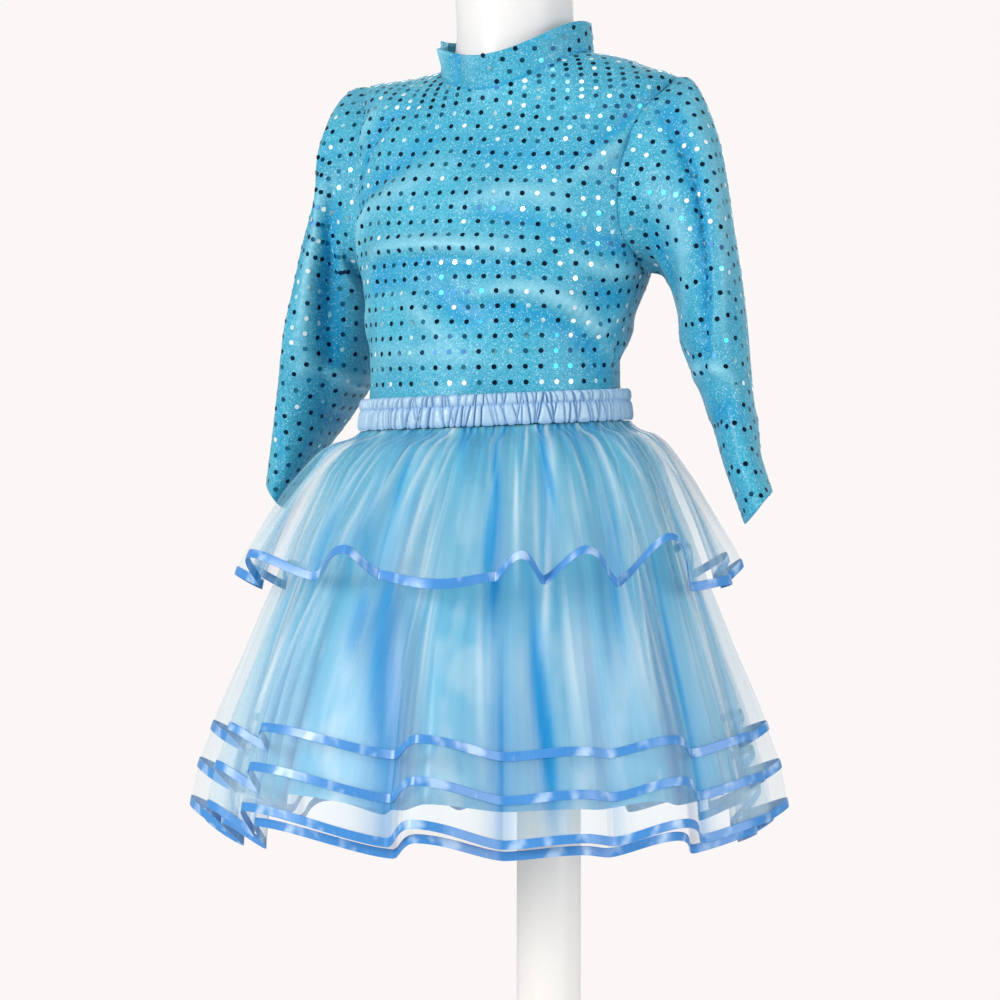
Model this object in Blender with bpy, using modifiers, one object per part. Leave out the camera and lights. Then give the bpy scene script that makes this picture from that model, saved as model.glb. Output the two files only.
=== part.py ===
# Skirt and top set for a child, worn on a limbless dress form with a pole and a round base.
# Metres, +Z up. The set faces -Y and the wearer's left is +X.
# The origin is the middle of the base's underside, on the pole's axis.

import math

import bpy
from mathutils import Vector

for old in list(bpy.data.objects):
    bpy.data.objects.remove(old, do_unlink=True)

# Driving dimensions
SEAM_GAP = 0.0003
SIDE_SEAM_SHIFT = 0.00025
KNIT_WALL = 0.0012
ORGANZA_WALL = 0.0010
SATIN_WALL = 0.0010
RIBBON_WALL = 0.0010
RIBBON_WIDTH = 0.006
RIBBON_PITCH = 0.028
RIBBON_LIFT = 0.00045

FIGURE_X = -0.010
FORM_INSET = 0.0030
FORM_ARM_INSET = 0.0018
FORM_SHOULDER_SINK = 0.0020
FORM_COLUMNS = 20
POLE_STEPS = 24
BASE_STEPS = 40
NECK_RADIUS = 0.0405
NECK_TOP = 0.958
NECK_LEAN = -0.10
NECK_SHIFT = -0.001
POLE_RADIUS = 0.0225
BASE_RADIUS = 0.150
BASE_HEIGHT = 0.014
BASE_EDGE = 0.004
BASE_FOOT = 0.0015

FRONT_COLUMNS = 24
BACK_COLUMNS = 16
RING_COLUMNS = 32
COLLAR_FRONT_HEIGHT = 0.026
COLLAR_BACK_HEIGHT = 0.016
COLLAR_LEAN = -0.23
COLLAR_DENT_ANGLE = -62.0
COLLAR_DENT_WIDTH = 24.0
COLLAR_DENT_DEPTH = 0.007
SLEEVE_BLEND = (0.25, 0.6, 0.85, 1.0)

BAND_TOP = 0.6665
BAND_HEIGHT = 0.0215
BAND_LEAN = 0.045
BAND_MIDDLE_Y = -0.066
WAIST_HALF_WIDTH = 0.0915
WAIST_HALF_DEPTH = 0.0738
BAND_CLEAR = 0.0006
BAND_WALL = 0.0060
BAND_WIDTH_TAPER = 0.0028
BAND_DEPTH_TAPER = 0.0004
BAND_GATHERS = 48
BAND_GATHER_DEPTH = 0.0011
BAND_BULGES = ((0.0, -0.0010), (0.14, 0.0), (0.64, -0.0004), (1.0, -0.0010))

LINING_CLEAR = 0.0017
LAYER_STEP = 0.00135
TIER_STEP = 0.0016
FLARE_STEP = 0.0012
LOWER_LENGTH = 0.292
INNER_EXTRA = 0.004
UPPER_LENGTH = 0.134
LINING_LENGTH = 0.262
UPPER_ROWS = (0.0, 0.016, 0.050, 0.092)
LOWER_ROWS = (0.0, 0.026, 0.085, 0.170)
INNER_ROWS = (0.0, 0.026, 0.085, 0.190)
LINING_ROWS = (0.0, 0.026, 0.085, 0.180)
INNER_SHARE = 0.92
LINING_FOLD_SHARE = 0.45
LINING_SPREAD = 0.80

# Sections of the torso, from the hips up to the neckline. The edge angles are where the front and
# back panels end on the wearer's left and right, from the middle of the panel: 90 is the side or
# shoulder seam, less the armhole.
SECTION = ("front_z", "side_z", "back_z", "half_width", "side_y", "front_depth", "back_depth",
           "roundness", "lean", "left_edge", "right_edge")
TORSO = (
    (0.575, 0.575, 0.575, 0.1010, -0.058, 0.080, 0.088, 1.00, 0.00, 90, 90),
    (0.600, 0.600, 0.600, 0.0965, -0.062, 0.077, 0.080, 1.00, 0.00, 90, 90),
    (0.622, 0.622, 0.622, 0.0925, -0.065, 0.0750, 0.0745, 1.00, 0.00, 90, 90),
    (0.645, 0.645, 0.645, 0.0905, -0.066, 0.0732, 0.0725, 1.00, 0.00, 90, 90),
    (0.667, 0.667, 0.667, 0.0885, -0.066, 0.0725, 0.0710, 1.00, 0.00, 90, 90),
    (0.690, 0.690, 0.690, 0.0885, -0.064, 0.0740, 0.0700, 0.99, 0.00, 90, 90),
    (0.718, 0.718, 0.718, 0.0935, -0.057, 0.077, 0.072, 0.94, 0.00, 90, 90),
    (0.749, 0.749, 0.749, 0.1015, -0.047, 0.080, 0.075, 0.88, 0.00, 90, 90),
    (0.768, 0.773, 0.772, 0.1060, -0.043, 0.080, 0.075, 0.87, 0.00, 69, 73),
    (0.790, 0.803, 0.800, 0.1095, -0.037, 0.078, 0.073, 0.86, 0.00, 61, 67),
    (0.812, 0.834, 0.829, 0.1120, -0.031, 0.075, 0.068, 0.87, 0.00, 60, 66),
    (0.833, 0.862, 0.855, 0.1140, -0.027, 0.069, 0.060, 0.90, 0.00, 67, 71),
    (0.850, 0.881, 0.873, 0.1145, -0.024, 0.062, 0.052, 0.94, 0.00, 90, 90),
    (0.858, 0.8865, 0.882, 0.0960, -0.025, 0.058, 0.050, 0.96, 0.02, 90, 90),
    (0.866, 0.891, 0.891, 0.0760, -0.027, 0.054, 0.048, 0.98, 0.06, 90, 90),
    (0.8735, 0.8950, 0.902, 0.0545, -0.030, 0.050, 0.046, 1.00, 0.09, 90, 90),
)
UNDERARM = 7.0
SHOULDER_TIP = 12.0
NECKLINE = 15.0
LOW_ROWS = (1.0, 3.0, 4.3, 5.1, 5.8, 6.4)
ARMHOLE_ROWS = 8
SHOULDER_ROWS = (13.0, 14.0, 15.0)
FORM_ROWS = (0.0, 1.0, 2.0, 3.0, 4.0, 5.0, 6.0, 6.6, 7.0, 7.5, 8.0, 9.0, 10.0, 10.7, 11.3,
             11.7, 12.0, 12.5, 13.0, 14.0, 15.0)
FORM_ARM_START = 6.5

# The form's neck: how far each ring has levelled out, its radius and its rise, and then the rim
# as distances below the top and inside the neck's radius.
NECK_ROWS = ((0.35, 0.0445, 0.006), (0.75, 0.0415, 0.013), (1.0, NECK_RADIUS, 0.022),
             (1.0, NECK_RADIUS, 0.040))
NECK_RIM = ((0.008, 0.0), (0.0025, 0.002), (0.0, 0.007))

# The largest folds of the top. Each is a bent line through three places: on the panels an angle
# and a height, on the sleeves a turn round the arm from its outside and a row of the sleeve.
FOLD = ("start_angle", "start", "middle_angle", "middle", "end_angle", "end",
        "stand_out", "half_width")
FRONT_FOLDS = (
    (-40, 0.762, -8, 0.765, 26, 0.761, 0.0030, 0.0110),
    (-40, 0.740, -24, 0.754, 26, 0.750, -0.0014, 0.0100),
    (0, 0.798, 20, 0.801, 42, 0.786, 0.0022, 0.0110),
    (10, 0.733, 42, 0.731, 86, 0.692, 0.0040, 0.0120),
    (4, 0.720, 36, 0.719, 92, 0.675, -0.0014, 0.0110),
    (-22, 0.735, -12, 0.718, 2, 0.704, 0.0018, 0.0120),
    (86, 0.752, 66, 0.749, 44, 0.758, 0.0022, 0.0110),
    (72, 0.850, 52, 0.829, 32, 0.804, 0.0020, 0.0110),
    (-66, 0.774, -34, 0.799, -6, 0.824, 0.0020, 0.0110),
    (-60, 0.690, -20, 0.694, 30, 0.688, 0.0014, 0.0120),
)
BACK_FOLDS = (
    (110, 0.768, 150, 0.772, 196, 0.764, 0.0024, 0.0130),
    (96, 0.694, 140, 0.722, 178, 0.726, 0.0030, 0.0130),
    (262, 0.698, 226, 0.716, 190, 0.736, 0.0024, 0.0130),
    (262, 0.752, 236, 0.756, 212, 0.768, 0.0020, 0.0130),
    (112, 0.774, 140, 0.802, 166, 0.830, 0.0018, 0.0130),
)
SLEEVE_LEFT_FOLDS = (
    (66, 0.8, 68, 3.2, 84, 6.6, -0.0055, 0.0120),
    (30, 1.2, 36, 3.6, 46, 6.2, 0.0022, 0.0130),
    (110, 1.4, 112, 3.4, 120, 5.8, 0.0028, 0.0120),
    (66, 7.2, 110, 6.8, 160, 7.0, 0.0030, 0.0110),
    (294, 1.0, 290, 3.6, 272, 6.4, -0.0040, 0.0120),
)
SLEEVE_RIGHT_FOLDS = (
    (88, 0.8, 90, 3.4, 94, 6.8, -0.0050, 0.0120),
    (46, 1.2, 46, 3.6, 56, 6.6, 0.0024, 0.0130),
    (134, 1.0, 134, 3.4, 138, 6.2, 0.0026, 0.0120),
    (120, 6.6, 150, 7.0, 172, 7.6, 0.0022, 0.0110),
    (292, 1.0, 290, 3.4, 270, 6.2, -0.0040, 0.0120),
)
FOLD_STEPS = 12
FOLD_END_SHARE = 0.12
FOLD_RADIUS = 0.095
FOLD_SEAM_FADE = 0.012
SLEEVE_FOLD_RADIUS = 0.045
SLEEVE_ROW_LENGTH = 0.030
SLEEVE_SEAM_FADE = 1.0
SLEEVE_SIDE_GAP = 0.0004

# Sections of each sleeve below the armhole. Outer is the outside of the arm, inner its underside.
# Turn is how far the flattened sleeve is twisted from facing straight ahead.
SLEEVE = ("outer_x", "outer_z", "inner_x", "inner_z", "middle_y", "half_depth", "turn")
SLEEVE_LEFT = (
    (0.1260, 0.8800, 0.1050, 0.7475, -0.032, 0.046, 20),
    (0.1420, 0.8570, 0.1090, 0.7460, -0.032, 0.049, 20),
    (0.1520, 0.8250, 0.1130, 0.7430, -0.033, 0.051, 20),
    (0.1595, 0.7850, 0.1175, 0.7360, -0.034, 0.050, 20),
    (0.1665, 0.7450, 0.1230, 0.7200, -0.035, 0.048, 20),
    (0.1715, 0.7120, 0.1270, 0.7000, -0.037, 0.045, 20),
    (0.1740, 0.6850, 0.1315, 0.6770, -0.038, 0.042, 20),
    (0.1800, 0.6570, 0.1470, 0.6480, -0.044, 0.038, 20),
    (0.1890, 0.6280, 0.1630, 0.6180, -0.050, 0.034, 20),
    (0.2000, 0.6030, 0.1800, 0.5810, -0.056, 0.031, 20),
)
SLEEVE_RIGHT = (
    (0.1310, 0.8795, 0.1055, 0.7475, -0.031, 0.046, 20),
    (0.1420, 0.8520, 0.1100, 0.7460, -0.031, 0.049, 20),
    (0.1460, 0.8180, 0.1140, 0.7430, -0.031, 0.050, 20),
    (0.1500, 0.7820, 0.1160, 0.7360, -0.031, 0.049, 20),
    (0.1560, 0.7450, 0.1170, 0.7200, -0.030, 0.047, 20),
    (0.1640, 0.7120, 0.1200, 0.7000, -0.030, 0.045, 18),
    (0.1715, 0.6850, 0.1260, 0.6770, -0.030, 0.042, 14),
    (0.1805, 0.6550, 0.1415, 0.6480, -0.030, 0.038, 6),
    (0.1925, 0.6250, 0.1600, 0.6180, -0.030, 0.034, -10),
    (0.1975, 0.6030, 0.1820, 0.5830, -0.033, 0.031, -22),
)

# Skirt layers: length of cloth from the band, middle radius across and front to back, and the
# share of the folds that stands there.
PROFILE = ("length", "half_width", "half_depth", "middle_y", "fold_share")
LOWER_PROFILE = (
    (0.000, 0.0000, 0.0000, -0.0660, 0.00),
    (0.034, 0.0180, 0.0195, -0.0680, 0.04),
    (0.085, 0.0380, 0.0435, -0.0705, 0.10),
    (0.160, 0.0625, 0.0730, -0.0740, 0.36),
    (0.242, 0.0870, 0.0970, -0.0760, 0.80),
    (0.292, 0.0960, 0.1070, -0.0770, 1.00),
)
UPPER_PROFILE = (
    (0.000, 0.0000, 0.0000, -0.0660, 0.00),
    (0.031, 0.0212, 0.0235, -0.0685, 0.08),
    (0.062, 0.0385, 0.0440, -0.0710, 0.26),
    (0.098, 0.0535, 0.0655, -0.0730, 0.62),
    (0.134, 0.0655, 0.0820, -0.0745, 1.00),
)

# Flutes: angle of the crest from the front towards the wearer's left, how far it stands out at
# the hem, and how far its hem is lifted beyond what the cloth's length gives. The valley after it
# lies at a share of the way to the next crest, and out at its own distance.
FLUTE = ("angle", "out", "lift", "valley_place", "valley_out")
WIDE_FLUTE = 27.0
NARROW_FLUTE_STEPS = 2
WIDE_FLUTE_STEPS = 3
STEEPEST = 0.95
LOWER_FLUTES = (
    (-66, 0.013, 0.006, 0.80, -0.009),
    (-40, 0.013, 0.008, 0.66, -0.005),
    (-25, 0.015, 0.008, 0.80, -0.011),
    (12, 0.014, 0.004, 0.52, -0.010),
    (44, 0.003, 0.001, 0.32, 0.000),
    (64, 0.012, 0.005, 0.45, -0.010),
    (91, 0.013, 0.003, 0.50, -0.010),
    (114, 0.014, 0.004, 0.62, -0.010),
    (136, 0.013, 0.006, 0.42, -0.010),
    (157, 0.014, 0.003, 0.56, -0.010),
    (178, 0.013, 0.006, 0.40, -0.010),
    (199, 0.014, 0.004, 0.60, -0.010),
    (221, 0.013, 0.005, 0.48, -0.010),
    (242, 0.014, 0.003, 0.58, -0.010),
    (267, 0.013, 0.006, 0.50, -0.010),
)
UPPER_FLUTES = (
    (-63, 0.010, 0.000, 0.50, -0.004),
    (-38, 0.014, 0.002, 0.56, -0.005),
    (-6, 0.013, 0.004, 0.25, -0.005),
    (14, 0.003, -0.005, 0.70, -0.004),
    (33, 0.009, 0.004, 0.40, -0.005),
    (47, 0.012, 0.007, 0.48, -0.003),
    (68, 0.013, 0.016, 0.58, -0.005),
    (95, 0.009, -0.002, 0.50, -0.004),
    (115, 0.010, 0.004, 0.60, -0.005),
    (134, 0.012, 0.003, 0.42, -0.005),
    (152, 0.011, 0.006, 0.56, -0.005),
    (171, 0.012, 0.003, 0.40, -0.005),
    (189, 0.011, 0.005, 0.60, -0.005),
    (207, 0.012, 0.002, 0.46, -0.005),
    (225, 0.011, 0.006, 0.58, -0.005),
    (243, 0.012, 0.003, 0.44, -0.005),
    (261, 0.011, 0.004, 0.56, -0.005),
    (279, 0.011, 0.002, 0.50, -0.005),
)


def material(name, colour, roughness):
    """A plain finish with the colour of the part."""
    made = bpy.data.materials.new(name)
    made.use_nodes = True
    shader = made.node_tree.nodes["Principled BSDF"]
    shader.inputs["Base Color"].default_value = (*colour, 1.0)
    shader.inputs["Roughness"].default_value = roughness
    shader.inputs["Metallic"].default_value = 0.0
    made.diffuse_color = (*colour, 1.0)
    return made


def row_between(table, names, where):
    """The row of a table at a fractional place, on a smooth curve through the rows."""
    last = len(table) - 1
    low = max(0, min(int(math.floor(where)), last - 1))
    part = where - low
    before, here = table[max(low - 1, 0)], table[low]
    after, beyond = table[low + 1], table[min(low + 2, last)]
    values = []
    for a, b, c, d in zip(before, here, after, beyond):
        start, end = (c - a) / 2, (d - b) / 2
        curve = (2 * b - 2 * c + start + end) * part ** 3
        curve += (3 * c - 3 * b - 2 * start - end) * part ** 2
        values.append(curve + start * part + b)
    return dict(zip(names, values))


def signed_power(value, power):
    return math.copysign(abs(value) ** power, value)


def torso_point(row, angle, inset=0.0, drop=0.0):
    """A point of a torso section. The angle runs from the front towards the wearer's left."""
    side, ahead = math.sin(math.radians(angle)), math.cos(math.radians(angle))
    depth = row["front_depth"] if ahead > 0 else row["back_depth"]
    middle_z = row["front_z"] if ahead > 0 else row["back_z"]
    x = (row["half_width"] - inset) * signed_power(side, row["roundness"])
    y = row["side_y"] - (depth - inset) * signed_power(ahead, row["roundness"])
    z = middle_z + (row["side_z"] - middle_z) * side ** 2 + row["lean"] * x - drop
    return Vector((x, y, z))


def mesh_object(name, points, faces, finish):
    mesh = bpy.data.meshes.new(name)
    mesh.from_pydata([tuple(point) for point in points], [], faces)
    mesh.validate()
    mesh.materials.append(finish)
    made = bpy.data.objects.new(name, mesh)
    SET.objects.link(made)
    made.parent = FIGURE
    mesh.shade_smooth()
    return made


def grid_faces(row_count, column_count, closed):
    """Quads of a grid whose rows run upwards and whose columns run anticlockwise."""
    faces = []
    for row in range(row_count - 1):
        for column in range(column_count if closed else column_count - 1):
            beside = (column + 1) % column_count
            low, high = row * column_count, (row + 1) * column_count
            faces.append((low + column, low + beside, high + beside, high + column))
    return faces


def cloth(name, rows, closed, wall, finish, outwards=False):
    """An open surface through rows of points, given its wall by Solidify."""
    points = [point for row in rows for point in row]
    faces = grid_faces(len(rows), len(rows[0]), closed)
    made = mesh_object(name, points, faces, finish)
    solid = made.modifiers.new("wall", "SOLIDIFY")
    solid.thickness = wall
    solid.offset = 1.0 if outwards else -1.0
    return made


def closed_stack(name, rows, finish):
    """A closed solid through rings of points, flat at both ends."""
    count = len(rows[0])
    points = [point for row in rows for point in row]
    faces = grid_faces(len(rows), count, True)
    faces.append(tuple(reversed(range(count))))
    faces.append(tuple(range(len(points) - count, len(points))))
    return mesh_object(name, points, faces, finish)


def turned(name, profile, finish, steps):
    """A turned solid from a profile of radius and height, outer side from top to bottom."""
    mesh = bpy.data.meshes.new(name)
    points = [(radius, 0.0, height) for radius, height in profile]
    mesh.from_pydata(points, [(i, i + 1) for i in range(len(points) - 1)], [])
    mesh.materials.append(finish)
    made = bpy.data.objects.new(name, mesh)
    SET.objects.link(made)
    screw = made.modifiers.new("turn", "SCREW")
    screw.steps = steps
    screw.render_steps = steps
    screw.use_merge_vertices = True
    screw.merge_threshold = 0.00001
    screw.use_smooth_shade = True
    return made


def normals_of(rows, closed):
    """Outward normals at the points of a grid whose rows run upwards."""
    count = len(rows[0])
    result = []
    for index, row in enumerate(rows):
        above = rows[min(index + 1, len(rows) - 1)]
        below = rows[max(index - 1, 0)]
        line = []
        for column in range(count):
            after = (column + 1) % count if closed else min(column + 1, count - 1)
            before = column - 1 if closed else max(column - 1, 0)
            along = row[after] - row[before]
            line.append(along.cross(above[column] - below[column]).normalized())
        result.append(line)
    return result


def raised(rows, reliefs, closed):
    """The grid with each point moved out along its normal."""
    return [[point + normal * relief for point, normal, relief in zip(*lines)]
            for lines in zip(rows, normals_of(rows, closed), reliefs)]


def fold_relief(folds, angle, level, radius, row_length=1.0):
    """How far the folds stand out at a place. Row length turns rows of a sleeve into metres."""
    relief = 0.0
    for values in folds:
        fold = dict(zip(FOLD, values))
        nearest = 0.0
        for step in range(FOLD_STEPS + 1):
            share = step / FOLD_STEPS
            weights = ((1 - share) * (1 - 2 * share), 4 * share * (1 - share),
                       share * (2 * share - 1))
            line_angle = sum(weight * fold[name] for weight, name in
                             zip(weights, ("start_angle", "middle_angle", "end_angle")))
            line_level = sum(weight * fold[name] for weight, name in
                             zip(weights, ("start", "middle", "end")))
            aside = math.radians((angle - line_angle + 180.0) % 360.0 - 180.0) * radius
            along = (level - line_level) * row_length
            taper = math.sin(math.pi * (FOLD_END_SHARE + (1 - 2 * FOLD_END_SHARE) * share))
            near = taper * math.exp(-(aside ** 2 + along ** 2) / fold["half_width"] ** 2)
            nearest = max(nearest, near)
        relief += fold["stand_out"] * nearest
    return relief


def armhole_places():
    """Places in the torso table of the rows between the underarm and the shoulder tip."""
    step = (SHOULDER_TIP - UNDERARM) / ARMHOLE_ROWS
    return [UNDERARM + step * index for index in range(ARMHOLE_ROWS + 1)]


def edge_angle(where, row, side):
    """Angle from a panel's middle to its edge: the side or shoulder seam, less the armhole."""
    edge = row["left_edge"] if side > 0 else row["right_edge"]
    return edge if UNDERARM < where < SHOULDER_TIP else 90.0


def panel_rows(facing, columns, folds):
    """Rows of the front or back of the top, from its hem to its neckline, with its folds."""
    rows, reliefs = [], []
    ahead = 1 if facing == 0.0 else -1
    for where in [*LOW_ROWS, *armhole_places(), *SHOULDER_ROWS]:
        section = row_between(TORSO, SECTION, where)
        first, last = edge_angle(where, section, -ahead), edge_angle(where, section, ahead)
        row, relief = [], []
        for column in range(columns + 1):
            turn = -first + (first + last) * column / columns
            point = torso_point(section, facing + turn) + Vector((0.0, -ahead * SIDE_SEAM_SHIFT, 0.0))
            from_seam = math.radians(min(turn + first, last - turn)) * FOLD_RADIUS
            fade = min(1.0, from_seam / FOLD_SEAM_FADE)
            row.append(point)
            relief.append(fade * fold_relief(folds, facing + turn, point.z, FOLD_RADIUS))
        rows.append(row)
        reliefs.append(relief)
    return raised(rows, reliefs, False)


def armhole_loop(side):
    """The armhole from the shoulder tip down the front to the underarm and up the back."""
    front, back = [], []
    for where in armhole_places():
        section = row_between(TORSO, SECTION, where)
        edge = edge_angle(where, section, side)
        front.append(torso_point(section, side * edge))
        back.append(torso_point(section, side * (180.0 - edge)))
    loop = list(reversed(front)) + back[1:-1]
    return [point + Vector((side * SLEEVE_SIDE_GAP, 0.0, 0.0)) for point in loop]


def sleeve_ring(row, side, count):
    """A flattened ring of the sleeve, starting on the outside of the arm, then the front."""
    outer = Vector((side * row["outer_x"], row["middle_y"], row["outer_z"]))
    inner = Vector((side * row["inner_x"], row["middle_y"], row["inner_z"]))
    middle, across = (outer + inner) / 2, (outer - inner) / 2
    turn = math.radians(row["turn"])
    ahead = Vector((side * math.sin(turn), -math.cos(turn), 0.0)) * row["half_depth"]
    ring = []
    for index in range(count):
        angle = 2 * math.pi * index / count
        ring.append(middle + across * math.cos(angle) + ahead * math.sin(angle))
    return ring


def sleeve(name, table, folds, side, finish):
    """A sleeve from the armhole loop down through the rings of its table."""
    loop = armhole_loop(side)
    count = len(loop)
    middle = sum(loop, Vector()) / count
    rows = [loop]
    for index, values in enumerate(table):
        ring = sleeve_ring(dict(zip(SLEEVE, values)), side, count)
        centre = sum(ring, Vector()) / count
        share = SLEEVE_BLEND[min(index, len(SLEEVE_BLEND) - 1)]
        rows.append([centre + (point - middle) * (1 - share) + (oval - centre) * share
                     for point, oval in zip(loop, ring)])
    reliefs = []
    for place in range(len(rows)):
        fade = min(1.0, place / SLEEVE_SEAM_FADE)
        reliefs.append([fade * fold_relief(folds, 360.0 * index / count, place,
                                           SLEEVE_FOLD_RADIUS, SLEEVE_ROW_LENGTH)
                        for index in range(count)])
    if side < 0:
        rows.reverse()
        reliefs.reverse()
    return cloth(name, raised(rows, reliefs, True), True, KNIT_WALL, finish)


def neckline_ring():
    section = row_between(TORSO, SECTION, NECKLINE)
    step = 360.0 / RING_COLUMNS
    return [torso_point(section, step * index) for index in range(RING_COLUMNS)]


def collar(finish):
    """The stand collar: a band that leans forward, with one buckle at the wearer's right."""
    rows = []
    ring = neckline_ring()
    middle_y = row_between(TORSO, SECTION, NECKLINE)["side_y"]
    for share in (0.0, 0.5, 1.0):
        row = []
        for index, point in enumerate(ring):
            angle = (360.0 * index / RING_COLUMNS + 180.0) % 360.0 - 180.0
            near = max(0.0, 1.0 - abs(angle - COLLAR_DENT_ANGLE) / COLLAR_DENT_WIDTH)
            outwards = Vector((point.x, point.y - middle_y, 0.0)).normalized()
            ahead = (1.0 + math.cos(math.radians(angle))) / 2
            full = COLLAR_BACK_HEIGHT + (COLLAR_FRONT_HEIGHT - COLLAR_BACK_HEIGHT) * ahead
            height = full * share + SEAM_GAP
            rise = Vector((0.0, COLLAR_LEAN * height, height))
            dent = COLLAR_DENT_DEPTH * share * math.sin(near * math.pi / 2) ** 2
            row.append(point + rise - outwards * dent)
        rows.append(row)
    return cloth("collar", rows, True, KNIT_WALL, finish)


def ellipse_point(angle, half_width, half_depth, middle_y):
    turn = math.radians(angle)
    return Vector((half_width * math.sin(turn), middle_y - half_depth * math.cos(turn), 0.0))


def waist_size(out, taper=0.0):
    """Half width and half depth of an oval that lies a distance outside the top at the waist."""
    return (WAIST_HALF_WIDTH + out - BAND_WIDTH_TAPER * taper,
            WAIST_HALF_DEPTH + out - BAND_DEPTH_TAPER * taper)


def waistband(finish):
    """The gathered casing: an oval ring whose outer side is pinched once for each gather."""
    columns = 2 * BAND_GATHERS
    rows = []
    for height, bulge in [(0.0, None), *BAND_BULGES, (1.0, None)]:
        row = []
        for index in range(columns):
            gather = BAND_GATHER_DEPTH if index % 2 else 0.0
            out = BAND_CLEAR if bulge is None else BAND_CLEAR + BAND_WALL + bulge - gather
            size = waist_size(out, height)
            point = ellipse_point(360.0 * index / columns, *size, BAND_MIDDLE_Y)
            point.z = BAND_TOP - BAND_HEIGHT * (1.0 - height) + BAND_LEAN * point.x
            row.append(point)
        rows.append(row)
    points = [point for row in rows for point in row]
    faces = grid_faces(len(rows), columns, True)
    last = (len(rows) - 1) * columns
    for index in range(columns):
        beside = (index + 1) % columns
        faces.append((last + index, last + beside, beside, index))
    return mesh_object("waistband", points, faces, finish)


def fold_columns(flutes):
    """Angle, stand-out and lift of every column, from each crest to its valley and on."""
    crests = [dict(zip(FLUTE, values)) for values in flutes]
    columns = []
    for here, after in zip(crests, crests[1:] + crests[:1]):
        width = (after["angle"] - here["angle"]) % 360.0
        steps = NARROW_FLUTE_STEPS if width < WIDE_FLUTE else WIDE_FLUTE_STEPS
        place, valley = here["valley_place"], here["valley_out"]
        for crest, start, reach, direction in ((here, 0.0, place, 1), (after, place, 1 - place, -1)):
            for step in range(steps):
                share = (1.0 + direction * math.cos(math.pi * step / steps)) / 2
                angle = here["angle"] + width * (start + reach * step / steps)
                columns.append((angle, valley + (crest["out"] - valley) * share,
                                crest["lift"] * share))
    return columns


def profile_at(profile, length):
    """The row of a skirt profile at a length of cloth below the band."""
    lengths = [row[0] for row in profile]
    index = max(0, min(len(lengths) - 2, sum(1 for value in lengths if value <= length) - 1))
    part = (length - lengths[index]) / (lengths[index + 1] - lengths[index])
    return row_between(profile, PROFILE, index + part)


def skirt_rows(profile, lengths, columns, out, late, fold_scale=1.0, spread=1.0):
    """Rows of a skirt layer from its hem up. Each column keeps its length of cloth, so it drops
    less where it runs outwards. Late is how far down the layer starts to flare."""
    half_width, half_depth = waist_size(out)
    rows = []
    heights = []
    for index, length in enumerate(lengths):
        part = profile_at(profile, max(0.0, length - late))
        row = []
        for number, (angle, fold, lift) in enumerate(columns):
            swing = fold * part["fold_share"] * fold_scale
            width = half_width + part["half_width"] * spread + swing
            depth = half_depth + part["half_depth"] * spread + swing
            point = ellipse_point(angle, width, depth, part["middle_y"])
            if index == 0:
                heights.append(BAND_TOP - BAND_HEIGHT - SEAM_GAP + BAND_LEAN * point.x)
                drop = 0.0
            else:
                above = rows[-1][number]
                run = length - lengths[index - 1]
                sideways = min(math.hypot(point.x - above.x, point.y - above.y), STEEPEST * run)
                drop = math.sqrt(run ** 2 - sideways ** 2)
                drop -= lift * fold_scale * run / lengths[-1] * (1.0 + part["fold_share"])
            heights[number] -= drop
            point.z = heights[number]
            row.append(point)
        rows.append(row)
    rows.reverse()
    return rows


def ribbon(name, rows, low, finish):
    """A ribbon on the tier between one of its rows and the next, made from its points."""
    normals = normals_of(rows, True)
    lifted = []
    for index in (low, low + 1):
        lifted.append([point + normal * RIBBON_LIFT
                       for point, normal in zip(rows[index], normals[index])])
    return cloth(name, lifted, True, RIBBON_WALL, finish, outwards=True)


def dress_form(finish):
    """The limbless torso and neck, a little smaller than the top all over."""
    angles = [360.0 * index / FORM_COLUMNS for index in range(FORM_COLUMNS)]
    rows = []
    for where in FORM_ROWS:
        section = row_between(TORSO, SECTION, where)
        sink = FORM_SHOULDER_SINK * max(0.0, min(1.0, where - SHOULDER_TIP + 2.0))
        inset = FORM_INSET + (FORM_ARM_INSET if FORM_ARM_START < where <= SHOULDER_TIP else 0.0)
        rows.append([torso_point(section, angle, inset, sink) for angle in angles])
    base = row_between(TORSO, SECTION, NECKLINE)
    neck_y = base["side_y"] + NECK_SHIFT
    for share, radius, rise in NECK_ROWS:
        row = []
        for angle in angles:
            start = torso_point(base, angle, FORM_INSET, FORM_SHOULDER_SINK)
            round_point = ellipse_point(angle, radius, radius, neck_y + NECK_LEAN * rise)
            level = start.z + (base["side_z"] - start.z) * share
            row.append(Vector((round_point.x, round_point.y, level + rise)))
        rows.append(row)
    for below, inside in NECK_RIM:
        height, radius = NECK_TOP - below, NECK_RADIUS - inside
        lean = NECK_LEAN * (height - base["side_z"])
        rows.append([ellipse_point(angle, radius, radius, neck_y + lean)
                     + Vector((0.0, 0.0, height)) for angle in angles])
    return closed_stack("form_body", rows, finish)


def stand(finish):
    """The pole from the base up to the form's flat underside, and the round base."""
    top = TORSO[0][0] - SEAM_GAP
    foot = BASE_HEIGHT + SEAM_GAP
    turned("stand_pole", ((0.0, top), (POLE_RADIUS, top), (POLE_RADIUS, foot), (0.0, foot)),
           finish, POLE_STEPS)
    profile = [(0.0, BASE_HEIGHT), (BASE_RADIUS - BASE_EDGE, BASE_HEIGHT)]
    for turn in (math.pi / 4, math.pi / 2):
        profile.append((BASE_RADIUS - BASE_EDGE * (1 - math.sin(turn)),
                        BASE_HEIGHT - BASE_EDGE * (1 - math.cos(turn))))
    profile += [(BASE_RADIUS, BASE_FOOT), (BASE_RADIUS - BASE_FOOT, 0.0), (0.0, 0.0)]
    turned("stand_base", profile, finish, BASE_STEPS)


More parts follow.
